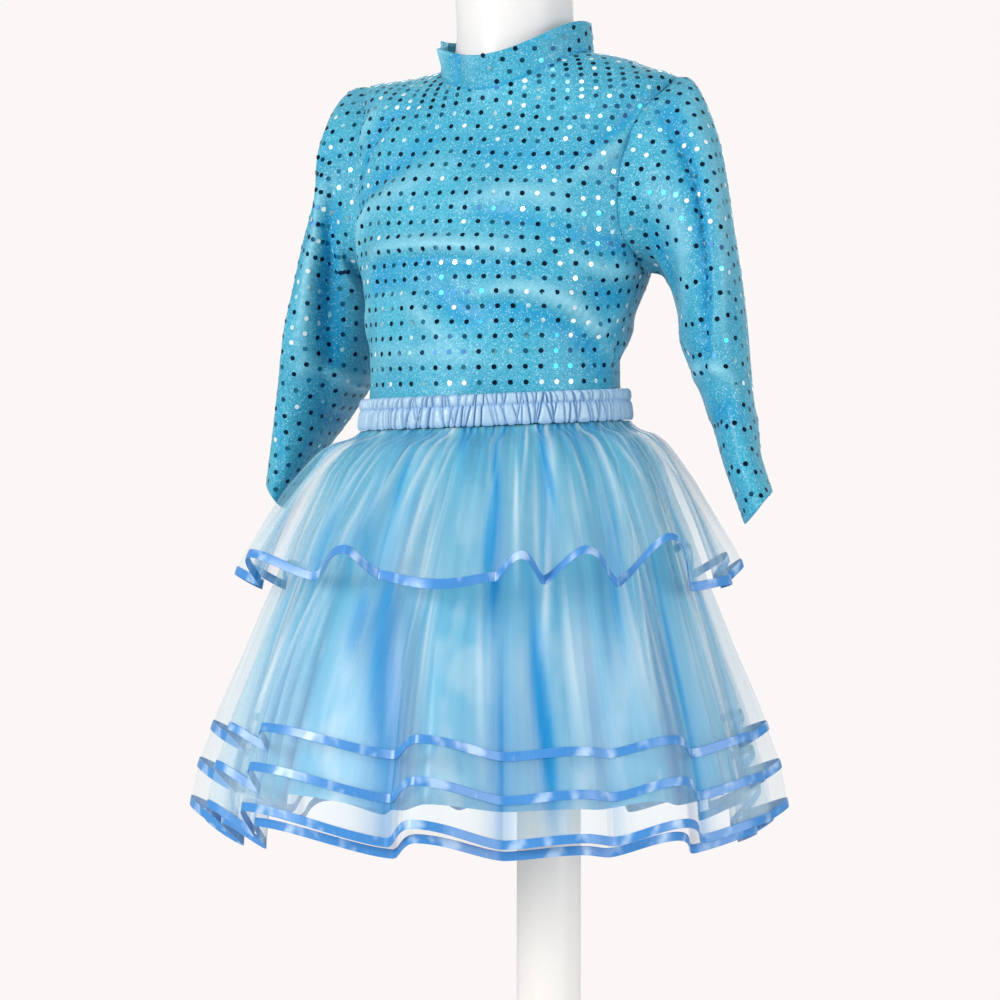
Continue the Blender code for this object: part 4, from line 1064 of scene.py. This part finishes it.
# long hollows: shallow grooves with painted shade in them
LONG_HOLLOWS = (
    # angle, turn for each 100 mm down, distance below the waist and half length of its middle,
    # half width, strength
    (-0.5, 5.0, 0.180, 0.090, 4.2, 1.0),
    (37.0, 2.0, 0.205, 0.080, 2.0, 1.0),
    (25.5, 0.0, 0.095, 0.055, 2.8, 1.0),
    (24.0, 2.0, 0.040, 0.026, 1.8, 0.8),
    (40.0, 4.0, 0.050, 0.040, 1.9, 0.9),
    (-9.0, 0.0, 0.150, 0.030, 2.8, 0.9),
    (-2.0, 3.0, 0.060, 0.035, 2.0, 0.7),
    (-28.0, 1.0, 0.190, 0.080, 2.0, 0.6),
    (-47.0, 0.0, 0.130, 0.090, 2.4, 0.7),
    (58.0, -1.0, 0.120, 0.060, 1.8, 0.7),
    (76.0, 0.0, 0.180, 0.090, 2.2, 0.8),
    (102.0, 2.0, 0.110, 0.060, 2.4, 0.8),
    (126.0, 1.0, 0.210, 0.080, 3.0, 0.9),
    (149.0, 0.0, 0.090, 0.050, 2.1, 0.8),
    (166.0, -2.0, 0.215, 0.075, 2.4, 0.9),
    (188.0, 1.0, 0.070, 0.040, 2.0, 0.7),
    (205.0, 3.0, 0.200, 0.080, 3.1, 1.0),
    (229.0, 0.0, 0.105, 0.050, 2.3, 0.8),
    (251.0, -1.0, 0.190, 0.080, 2.5, 0.9),
    (277.0, 1.0, 0.120, 0.070, 2.4, 0.8),
)
# painted sheen highlights on the lining's satin
LINING_SHEEN_HIGHLIGHTS = (
    # angle, distance below the waist, half width in degrees, half length, strength
    (50, 0.165, 5, 0.050, 1.0),
    (67, 0.165, 9, 0.040, 0.8),
    (98, 0.165, 13, 0.042, 0.9),
    (32, 0.175, 3, 0.045, 0.6),
    (-15, 0.150, 5, 0.040, 0.8),
    (-40, 0.190, 6, 0.040, 0.5),
    (132, 0.150, 9, 0.045, 0.8),
    (162, 0.185, 7, 0.040, 0.6),
    (196, 0.150, 8, 0.050, 0.8),
    (226, 0.175, 9, 0.040, 0.7),
    (263, 0.155, 7, 0.045, 0.7),
    (300, 0.170, 9, 0.040, 0.8),
)


def flute_columns(flutes):
    """Angle, stand-out, lift and share of painted valley shade of every column, from each crest to its
    valley.
    """
    steps = np.arange(FLUTE_STEPS) / FLUTE_STEPS
    parts = []
    for here, after in zip(flutes, flutes[1:] + flutes[:1]):
        width = (after[0] - here[0]) % 360.0
        place, valley = here[3], here[4]
        for crest, start, reach, direction in ((here, 0.0, place, 1), (after, place, 1.0 - place, -1)):
            share = ((1.0 + direction * np.cos(math.pi * steps)) / 2) ** FLUTE_ROUNDNESS
            hollow_shade = (1.0 - share) ** FLUTE_SHADE_SHARPNESS
            parts.append([here[0] + width * (start + reach * steps), valley + (crest[1] - valley) * share,
                          crest[2] * share, hollow_shade * min(1.0, (crest[1] - valley) / FLUTE_FULL_SHADE_DEPTH)])
    return np.concatenate(parts, axis=1)


def spaced_round(random, count, least=0.5):
    """Unevenly spaced angles all the way round."""
    spacing = random.uniform(least, 2.0 - least, count)
    return np.cumsum(spacing) * 360.0 / spacing.sum()


# soft upright creases: angle, drift, half width, height, where each ends and how strong its painted
# highlight is
random = np.random.default_rng(CREASE_SEED)
creases = list(zip(spaced_round(random, CREASE_COUNT),
                   random.uniform(-CREASE_DRIFT, CREASE_DRIFT, CREASE_COUNT),
                   random.uniform(*CREASE_WIDTH, CREASE_COUNT) * random.choice([-1, 1], CREASE_COUNT),
                   random.uniform(*CREASE_HEIGHT, CREASE_COUNT), random.choice(CREASE_ENDS, CREASE_COUNT),
                   random.choice(CREASE_HIGHLIGHTS, CREASE_COUNT)))
# short grooves below the band: angle, drift, half width, depth and length
random = np.random.default_rng(CREASE_SEED + 1)
gathers = list(zip(spaced_round(random, GATHER_COUNT),
                   random.uniform(-GATHER_DRIFT, GATHER_DRIFT, GATHER_COUNT),
                   random.uniform(*GATHER_WIDTH, GATHER_COUNT),
                   random.uniform(*GATHER_DEPTH, GATHER_COUNT),
                   random.uniform(*GATHER_LENGTH, GATHER_COUNT)))


def long_fold(angle, length, centre, drift, middle, reach, width, sharpness):
    """Share of a long ridge or hollow at each column of a row, greatest on its own line."""
    aside = apart(angle, centre + drift * (length - middle) / DRIFT_LENGTH)
    aside = np.abs(aside) / (width * (LONG_SPREAD[0] + LONG_SPREAD[1] * length))
    return np.exp(-aside ** sharpness) * math.exp(-((length - middle) / reach) ** 2)


def crease_relief(angle, length, whole):
    """How far creases and gathers move one row of a layer, and its painted highlight and painted shade
    there.
    """
    relief, pale, groove = np.zeros((3, len(angle)))
    to_hem = (length - CREASE_FADE[0] * whole) / (CREASE_FADE[1] * whole)
    hem = 1.0 - (1.0 - CREASE_HEM_SHARE) * min(1.0, max(0.0, to_hem))
    for centre, drift, width, height, end, highlight_strength in creases:
        aside = apart(angle, centre + drift * length / DRIFT_LENGTH) / width
        aside = np.where(aside > 0.0, aside / CREASE_SLOPE, -aside)
        fade = math.exp(-(length / end) ** 2) * hem
        relief = np.maximum(relief, height * fade * np.exp(-aside ** CREASE_SHARPNESS))
        # painted highlight along the crease's ridge
        pale = np.maximum(pale, highlight_strength * fade * np.exp(-(aside / CREASE_HIGHLIGHT_SHARE) ** 2))
    for centre, drift, width, depth, end in gathers:
        aside = np.abs(apart(angle, centre + drift * length / DRIFT_LENGTH))
        near = np.exp(-(aside / (width * (1.0 + GATHER_SPREAD * length))) ** GATHER_SHARPNESS)
        groove = np.maximum(groove, depth * math.exp(-(length / end) ** 2) * near)
    for *line, stand_out in LONG_RIDGES:
        near = long_fold(angle, length, *line, RIDGE_SHARPNESS)
        relief = np.maximum(relief, stand_out * near * hem)
        # painted highlight along the long ridge
        pale = np.maximum(pale, RIDGE_HIGHLIGHT * near ** 1.5)
    # painted shade in the gathers' grooves and along the long hollows
    painted_shade = np.clip(groove / GATHER_DEPTH[1] * GATHER_SHADE, 0.0, 1.0)
    for *line, strength in LONG_HOLLOWS:
        near = strength * long_fold(angle, length, *line, HOLLOW_SHARPNESS)
        painted_shade = np.maximum(painted_shade, np.minimum(1.0, HOLLOW_SHADE_FULLNESS * near))
        groove = np.maximum(groove, HOLLOW_DEPTH * near * hem)
    return relief - groove, pale * (1.0 - painted_shade), painted_shade


def skirt_grid(profile, lengths, columns, out, late, fold_scale, spread):
    """A skirt layer from its hem up, with its painted highlight and painted shade. Each column keeps its
    length of cloth as it flares."""
    angle, fold, lift, depth = columns
    turn = np.radians(angle)
    rows, pale_rows, deep_rows, height = [], [], [], None
    for index, length in enumerate(lengths):
        place = np.interp(max(0.0, length - late), profile[:, 0], np.arange(len(profile)))
        _, half_width, half_depth, middle_y, fold_share = row_between(profile, place)
        relief, pale, painted_shade = crease_relief(angle, length, lengths[-1])
        untucked = min(1.0, TUCK_SHARE + length / TUCK_LENGTH)
        swing = fold * fold_share * fold_scale + out * untucked
        x = (WAIST_HALF_WIDTH + half_width * spread + swing) * np.sin(turn)
        y = middle_y - (WAIST_HALF_DEPTH + half_depth * spread + swing) * np.cos(turn)
        if height is None:
            height = BAND_TOP - BAND_HEIGHT - SEAM_GAP + BAND_SLOPE * x
        else:
            run = length - lengths[index - 1]
            sideways = np.minimum(np.hypot(x - last_x, y - last_y), STEEPEST * run)
            height = height - np.sqrt(run ** 2 - sideways ** 2)
            height = height + lift * fold_scale * run / lengths[-1] * (1.0 + fold_share)
        last_x, last_y = x, y
        relief = relief * fold_scale * untucked
        rows.append(np.stack([x + relief * np.sin(turn), y - relief * np.cos(turn), height], axis=-1))
        pale_rows.append(pale)
        # depth is the painted shade of the flutes' valleys, growing as the flutes open
        deep_rows.append(np.maximum(painted_shade, depth * min(1.0, FLUTE_SHADE_GROWTH * fold_share)))
    return [np.array(kept[::-1]) for kept in (rows, pale_rows, deep_rows)]


def hem_lengths(grid, lengths):
    """Cloth coordinates of a skirt layer: across along its hem, and the length of cloth."""
    hem = np.concatenate([grid[0], grid[0][:1]])
    across = np.concatenate([[0.0], np.cumsum(np.linalg.norm(np.diff(hem, axis=0), axis=1))])
    up = (lengths[-1] - np.array(lengths))[::-1]
    return np.stack(np.meshgrid(across, up), axis=-1)


def sheen_highlight_share(angle, lengths):
    """Where the lining's satin gets painted sheen highlights, on each row and column."""
    share = np.zeros((len(lengths), len(angle)))
    for middle, length, half_width, half_length, strength in LINING_SHEEN_HIGHLIGHTS:
        aside = apart(angle, middle) / half_width
        along = (lengths[:, None] - length) / half_length
        share = np.maximum(share, strength * np.exp(-(aside ** 2 + along ** 2)))
    return share


# threads of a plain weave on the cloth map: streaks along the warp, and how far they run
threads, into, out = socket_group("threads", [("Streak", "Float", 0.0008), ("Run", "Float", 0.05)],
                                  [("Value", "Float")])
cloth = new_node(threads, "ShaderNodeUVMap", uv_map="cloth")
parts = new_node(threads, "ShaderNodeSeparateXYZ", {0: cloth.outputs["UV"]})
drawn_out = new_node(threads, "ShaderNodeCombineXYZ", {
    "X": node_maths(threads, "DIVIDE", parts.outputs["X"], into["Streak"]),
    "Y": node_maths(threads, "DIVIDE", parts.outputs["Y"], into["Run"])})
noise = new_node(threads, "ShaderNodeTexNoise", {
    "Vector": drawn_out.outputs[0], "Scale": 1.0, "Detail": 2.0})
threads.links.new(noise.outputs["Fac"], out.inputs["Value"])


def sheer_organza(name, cover, colour, pale, painted_shade):
    """Sheer organza: crisp threads that cover part of the surface, and more of it where it is
    gathered or creased. It is paler where it hangs open. Its ridges get a painted highlight and its
    hollows painted shade in a deeper blue, and both are covered more thickly, as extra layers."""
    made, tree, shader = new_material(name, colour, 0.36, {"Sheen Weight": 0.2, "Sheen Roughness": 0.3})
    fine = add_group(tree, threads, streak=0.0012, run=0.10).outputs["Value"]
    broad = add_group(tree, threads, streak=0.0100, run=0.22).outputs["Value"]
    hanging, highlight_on_ridge, shade_in_hollow = [read_value(tree, value) for value in ("hanging", "pale", "painted_shade")]
    uneven = node_maths(tree, "ADD", node_maths(tree, "MULTIPLY", fine, 0.25 * cover),
                        node_maths(tree, "MULTIPLY", broad, 1.1 * cover))
    opened = node_maths(tree, "MULTIPLY", hanging, HANGING_OPENNESS)
    covered = node_maths(tree, "MULTIPLY", node_maths(tree, "ADD", uneven, 0.32 * cover),
                         node_maths(tree, "SUBTRACT", 1.0, opened))
    layers = node_maths(tree, "ADD", read_value(tree, "gathered"),
                        node_maths(tree, "MULTIPLY", highlight_on_ridge, 1.8))
    layers = node_maths(tree, "ADD", layers, node_maths(tree, "MULTIPLY", shade_in_hollow, 2.6))
    left_open = node_maths(tree, "POWER", node_maths(tree, "SUBTRACT", 1.0, covered), layers)
    tree.links.new(node_maths(tree, "SUBTRACT", 1.0, left_open), shader.inputs["Alpha"])
    tone = ramp_between(tree, broad, [value * 0.90 for value in colour],
                        [min(1.0, value * 1.12) for value in colour], 0.3, 0.7)
    # paler where it hangs open, a painted highlight on ridges and painted shade in hollows
    for amount, tint in ((hanging, pale), (highlight_on_ridge, pale), (shade_in_hollow, painted_shade)):
        tone = mix_colours(tree, amount, tone, tint)
    tree.links.new(tone, shader.inputs["Base Color"])
    add_bump(tree, fine, shader, 0.0002, 0.25)
    return made


def satin(name, low, high, roughness, sheen, painted_shade=None, highlight_patches=None, sheen_highlight=None):
    """Satin: long floats that shine along the folds. It can have painted shade in its hollows, painted
    highlights in patches of a given size, and painted sheen highlights where its piece marks them."""
    made, tree, shader = new_material(name, high, roughness, {
        "Sheen Weight": sheen, "Sheen Roughness": 0.3, "Specular IOR Level": 0.6})
    streaks = add_group(tree, threads, streak=0.0006, run=0.03).outputs["Value"]
    tone = ramp_between(tree, streaks, low, high, 0.3, 0.7)
    # painted highlights in patches
    if highlight_patches:
        across, along, start, pale = highlight_patches
        where = add_group(tree, threads, streak=across, run=along).outputs["Value"]
        spread = new_node(tree, "ShaderNodeMapRange", {
            "Value": where, "From Min": start, "From Max": start + 0.18}, interpolation_type="SMOOTHSTEP")
        tone = mix_colours(tree, spread.outputs["Result"], tone, pale)
    # painted sheen highlights where the piece marks them
    if sheen_highlight:
        broken = node_maths(tree, "MULTIPLY_ADD", where, 1.2, 0.35)
        amount = node_maths(tree, "MULTIPLY", read_value(tree, "sheen_highlight"), broken)
        tone = mix_colours(tree, node_maths(tree, "MINIMUM", amount, 1.0), tone, sheen_highlight)
    # painted shade in the hollows
    if painted_shade:
        tone = mix_colours(tree, read_value(tree, "painted_shade"), tone, painted_shade)
    tree.links.new(tone, shader.inputs["Base Color"])
    add_bump(tree, streaks, shader, 0.00015, 0.25)
    return made


# each: cover, colour, pale tint for open cloth and painted ridge highlights, painted hollow shade
organza = sheer_organza("organza", 0.20, (0.20, 0.64, 0.81), (0.82, 0.92, 0.95), (0.006, 0.30, 0.66))
organza_inner = sheer_organza("organza_inner", 0.18, (0.15, 0.60, 0.79), (0.74, 0.88, 0.93),
                              (0.012, 0.25, 0.56))
# the lining: painted shade in hollows, painted highlights in patches and painted sheen highlights
lining_satin = satin("lining_satin", (0.030, 0.40, 0.68), (0.062, 0.49, 0.77), 0.34, 0.15,
                     painted_shade=(0.006, 0.23, 0.58), highlight_patches=(0.030, 0.060, 0.49, (0.38, 0.64, 0.81)),
                     sheen_highlight=(0.56, 0.73, 0.88))
# the ribbons: pale patches painted as highlights where the satin catches the light
ribbon_satin = satin("ribbon_satin", (0.034, 0.21, 0.55), (0.055, 0.27, 0.66), 0.28, 0.10,
                     highlight_patches=(0.018, 0.020, 0.50, (0.36, 0.55, 0.80)))

RIBBON_WIDTH = 0.006
RIBBON_PITCH = 0.028
RIBBON_LIFT = 0.0004
RIBBON_THICKNESS = 0.0005
RIBBON_SHARES = (0.0, 0.05, 0.5, 0.95, 1.0)


def ribbon(name, node, low_length, grid, lengths):
    """A ribbon on a tier, laid between two lengths of its cloth."""
    normals = outward_normals(grid, True)
    rising = lengths[::-1]
    across = RIBBON_WIDTH * np.array(RIBBON_SHARES)
    rows = []
    for spot in lengths[-1] - low_length - across:
        place = np.interp(-spot, -rising, np.arange(len(rising)))
        low = min(int(place), len(rising) - 2)
        point = grid[low] + (grid[low + 1] - grid[low]) * (place - low)
        rows.append(point + normals[low] * RIBBON_LIFT)
    rows = np.array(rows)
    piece = grid_mesh(name, rows, True, ribbon_satin, hem_lengths(rows, across))
    wall = piece.modifiers.new("wall", "SOLIDIFY")
    wall.thickness = RIBBON_THICKNESS
    wall.offset = 1.0
    stand_in(piece, node)
    return piece


def skirt_layer(name, node, finish, layer, flat, ribbons=()):
    """One layer of the skirt with the ribbons on it, made and standing in for its node of the model."""
    profile, end, rows, columns, out, late, fold_scale, spread = layer
    waist_cut, hem_cut, length_cut = flat
    lengths = np.concatenate([np.linspace(0.0, WAIST_ROWS_END, rows // 2, endpoint=False),
                              np.linspace(WAIST_ROWS_END, end, rows - rows // 2)])
    rising = lengths[::-1]
    grid, pale, painted_shade = skirt_grid(profile, lengths, columns, out, late, fold_scale, spread)
    piece = grid_mesh(name, grid, True, finish, hem_lengths(grid, lengths))
    around = np.linalg.norm(np.roll(grid, -1, axis=1) - grid, axis=-1).sum(axis=1)
    cut = hem_cut + (waist_cut - hem_cut) * (end - rising) / end
    hanging = HANGING_PALE * np.clip((rising / end - HANGING_START) / (1.0 - HANGING_START), 0.0, 1.0)
    keep_values(piece, "gathered", np.repeat(np.clip(cut / around, 1.0, 3.0), grid.shape[1]))
    keep_values(piece, "pale", pale)
    keep_values(piece, "painted_shade", painted_shade)
    # the lining's painted sheen highlights
    if finish == lining_satin:
        keep_values(piece, "sheen_highlight", sheen_highlight_share(columns[0], rising))
    keep_values(piece, "hanging", np.repeat(hanging, grid.shape[1]))
    stand_in(piece, node)
    bands = [ribbon(*band, grid, lengths) for band in ribbons]


# each layer: profile, length, rows, columns, distance outside the waist, how late its flare
# starts, the size of its folds and of its flare, then its cut at the waist, hem and in length
lower_columns = flute_columns(LOWER_FLUTES)
upper_columns = flute_columns(UPPER_FLUTES)
inner_out = LINING_CLEAR + LAYER_STEP
lower_out = inner_out + LAYER_STEP
upper_out = lower_out + TIER_STEP
skirt_layer("skirt_lining", "lining", lining_satin,
            (LOWER_PROFILE, LINING_LENGTH, 60, lower_columns, LINING_CLEAR, 3 * FLARE_STEP, 0.45, 0.80),
            (0.80, 1.15, 0.262))
skirt_layer(
    "lower_tier_inner", "tier_lower_inner", organza_inner,
    (LOWER_PROFILE, LOWER_LENGTH + INNER_EXTRA, 66, lower_columns, inner_out, 2 * FLARE_STEP, 0.92, 0.92),
    (0.90, 1.40, 0.296), [("inner_hem_ribbon", "ribbon_inner_hem", 0.0)])
skirt_layer(
    "lower_tier", "tier_lower", organza,
    (LOWER_PROFILE, LOWER_LENGTH, 66, lower_columns, lower_out, FLARE_STEP, 1.0, 1.0),
    (0.90, 1.50, 0.292),
    [("lower_hem_ribbon", "ribbon_lower_hem", 0.0),
     ("lower_middle_ribbon", "ribbon_lower_middle", RIBBON_PITCH),
     ("lower_high_ribbon", "ribbon_lower_high", 2 * RIBBON_PITCH)])
skirt_layer(
    "upper_tier", "tier_upper", organza,
    (UPPER_PROFILE, UPPER_LENGTH, 48, upper_columns, upper_out, 0.0, 1.0, 1.0),
    (0.95, 1.30, 0.134), [("upper_hem_ribbon", "ribbon_upper_hem", 0.0)])

# Waistband
# A pale satin casing, folded over wide elastic and gathered on it, closes the skirt's waist.
# One row of stitching runs round it about a third of the way down.
BAND_CLEAR = 0.0006
BAND_WALL = 0.0060
BAND_MIDDLE_Y = -0.066
BAND_WIDTH_TAPER = 0.0028
BAND_DEPTH_TAPER = 0.0004
BAND_COLUMNS = 1900
BAND_ROWS = 27
BAND_SEED = 17
STITCH_SHARE = 0.64
PUFF_DEPTH = 0.0016
PLEAT_COUNT = 165
PLEAT_DRIFT = 4.0
PLEAT_DEPTH = (0.0014, 0.0036)
PLEAT_WIDTH = (0.28, 0.62)
PLEAT_SHARPNESS = 1.3
# share of each pleat's width that gets painted shade
PLEAT_SHADE_SHARE = 0.55
PLEAT_AT_SEAM = 0.55
PLEAT_EDGE_DROP = 0.45
# the casing's deeper colour is painted shade in its pleats
casing_satin = satin("casing_satin", (0.29, 0.47, 0.65), (0.44, 0.61, 0.755), 0.36, 0.2,
                     painted_shade=(0.065, 0.29, 0.69))
band_angle = np.linspace(0.0, 360.0, BAND_COLUMNS, endpoint=False)
band_turn = np.radians(band_angle)
random = np.random.default_rng(BAND_SEED)
below, above = [list(zip(spaced_round(random, PLEAT_COUNT, 0.35),
                         random.uniform(-PLEAT_DRIFT, PLEAT_DRIFT, PLEAT_COUNT),
                         random.uniform(*PLEAT_DEPTH, PLEAT_COUNT),
                         random.uniform(*PLEAT_WIDTH, PLEAT_COUNT))) for _ in range(2)]
# above the stitching every other pleat goes on from one below, as they run through it
above = below[::2] + above[::2]


def band_ring(out, share, rise=0.0):
    """A ring of the casing at a share of the band's height and a distance outside the top."""
    x = (WAIST_HALF_WIDTH + out - BAND_WIDTH_TAPER * share) * np.sin(band_turn)
    y = BAND_MIDDLE_Y - (WAIST_HALF_DEPTH + out - BAND_DEPTH_TAPER * share) * np.cos(band_turn)
    return np.stack([x, y, BAND_TOP - BAND_HEIGHT * (1.0 - share) + BAND_SLOPE * x + rise], axis=-1)


band_rows, band_shade = [], []
for share in np.linspace(0.0, 1.0, BAND_ROWS):
    pleats, start, end = (below, 0.0, STITCH_SHARE) if share < STITCH_SHARE else (above, STITCH_SHARE, 1.0)
    groove, hollow_shade = np.zeros((2, BAND_COLUMNS))
    for centre, drift, depth, width in pleats:
        aside = np.abs(apart(band_angle, centre + drift * (share - STITCH_SHARE))) / width
        groove = np.maximum(groove, depth * np.exp(-aside ** PLEAT_SHARPNESS))
        inside = np.exp(-(aside / PLEAT_SHADE_SHARE) ** 2)
        hollow_shade = np.maximum(hollow_shade, depth / PLEAT_DEPTH[1] * inside)
    puff = max(0.0, 1.0 - (2.0 * (share - start) / (end - start) - 1.0) ** 4)
    out = BAND_CLEAR + BAND_WALL - PUFF_DEPTH * (1.0 - puff)
    out = out - groove * (PLEAT_AT_SEAM + (1.0 - PLEAT_AT_SEAM) * puff)
    rise = PLEAT_EDGE_DROP * groove * abs(2.0 * share - 1.0) ** 6 * (1.0 if share < 0.5 else -1.0)
    band_rows.append(band_ring(out, share, rise))
    # painted shade in the pleats' hollows and where the casing is pinched at the stitching and edges
    band_shade.append(np.clip(hollow_shade * 0.9 + 0.25 * (1.0 - puff), 0.0, 1.0))
for share in (1.0, 0.5, 0.04):
    band_rows.append(band_ring(BAND_CLEAR, share))
    band_shade.append(np.zeros(BAND_COLUMNS))
grid = np.array(band_rows)
casing = grid_mesh("waist_casing", grid, True, casing_satin, cloth_lengths(grid, True, 0))
keep_values(casing, "painted_shade", np.array(band_shade))
dress_sheet(casing, "waistband")

# Stitching
# One row of small lockstitches in thread of the casing's colour holds the elastic in its casing.
# They are pulled down into the gathers, and run all the way round.
STITCH_PITCH = 0.0026
STITCH_LENGTH = 0.0019
STITCH_RADIUS = 0.00018
STITCH_PROUD = 0.0002
STITCH_SIDES = 6


def stitches_tree():
    """Geometry nodes that lay a short round stitch at even steps along an edge loop."""
    tree, into, out = socket_group("stitch_row", (
        ("Geometry", "Geometry", None), ("Pitch", "Float", STITCH_PITCH), ("Length", "Float", STITCH_LENGTH),
        ("Radius", "Float", STITCH_RADIUS), ("Material", "Material", None)), [("Geometry", "Geometry")],
        "GeometryNodeTree")
    line = new_node(tree, "GeometryNodeMeshToCurve", {0: into["Geometry"]})
    points = new_node(tree, "GeometryNodeCurveToPoints", {"Curve": line.outputs[0], "Length": into["Pitch"]},
                      mode="LENGTH")
    rod = new_node(tree, "GeometryNodeMeshCylinder", {
        "Vertices": STITCH_SIDES, "Radius": into["Radius"], "Depth": into["Length"]})
    copies = new_node(tree, "GeometryNodeInstanceOnPoints", {
        "Points": points.outputs["Points"], "Instance": rod.outputs["Mesh"],
        "Rotation": points.outputs["Rotation"]})
    return end_tree(tree, copies.outputs["Instances"], into, out)


outwards = np.stack([np.sin(band_turn), -np.cos(band_turn), 0.0 * band_turn], -1)
stitch_ring = band_rows[round(STITCH_SHARE * (BAND_ROWS - 1))]
stitch_ring = stitch_ring + (FIGURE_X, 0.0, 0.0) + STITCH_PROUD * outwards
stitch_line = bpy.data.meshes.new("stitch_line")
stitch_edges = [(i, (i + 1) % BAND_COLUMNS) for i in range(BAND_COLUMNS)]
stitch_line.from_pydata(stitch_ring.tolist(), stitch_edges, [])
thread = new_material("casing_thread", (0.30, 0.50, 0.80), 0.5)[0]
stitches = grown_mesh("casing_stitches", stitch_line, stitches_tree(), thread, {})
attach(stitches, "root")
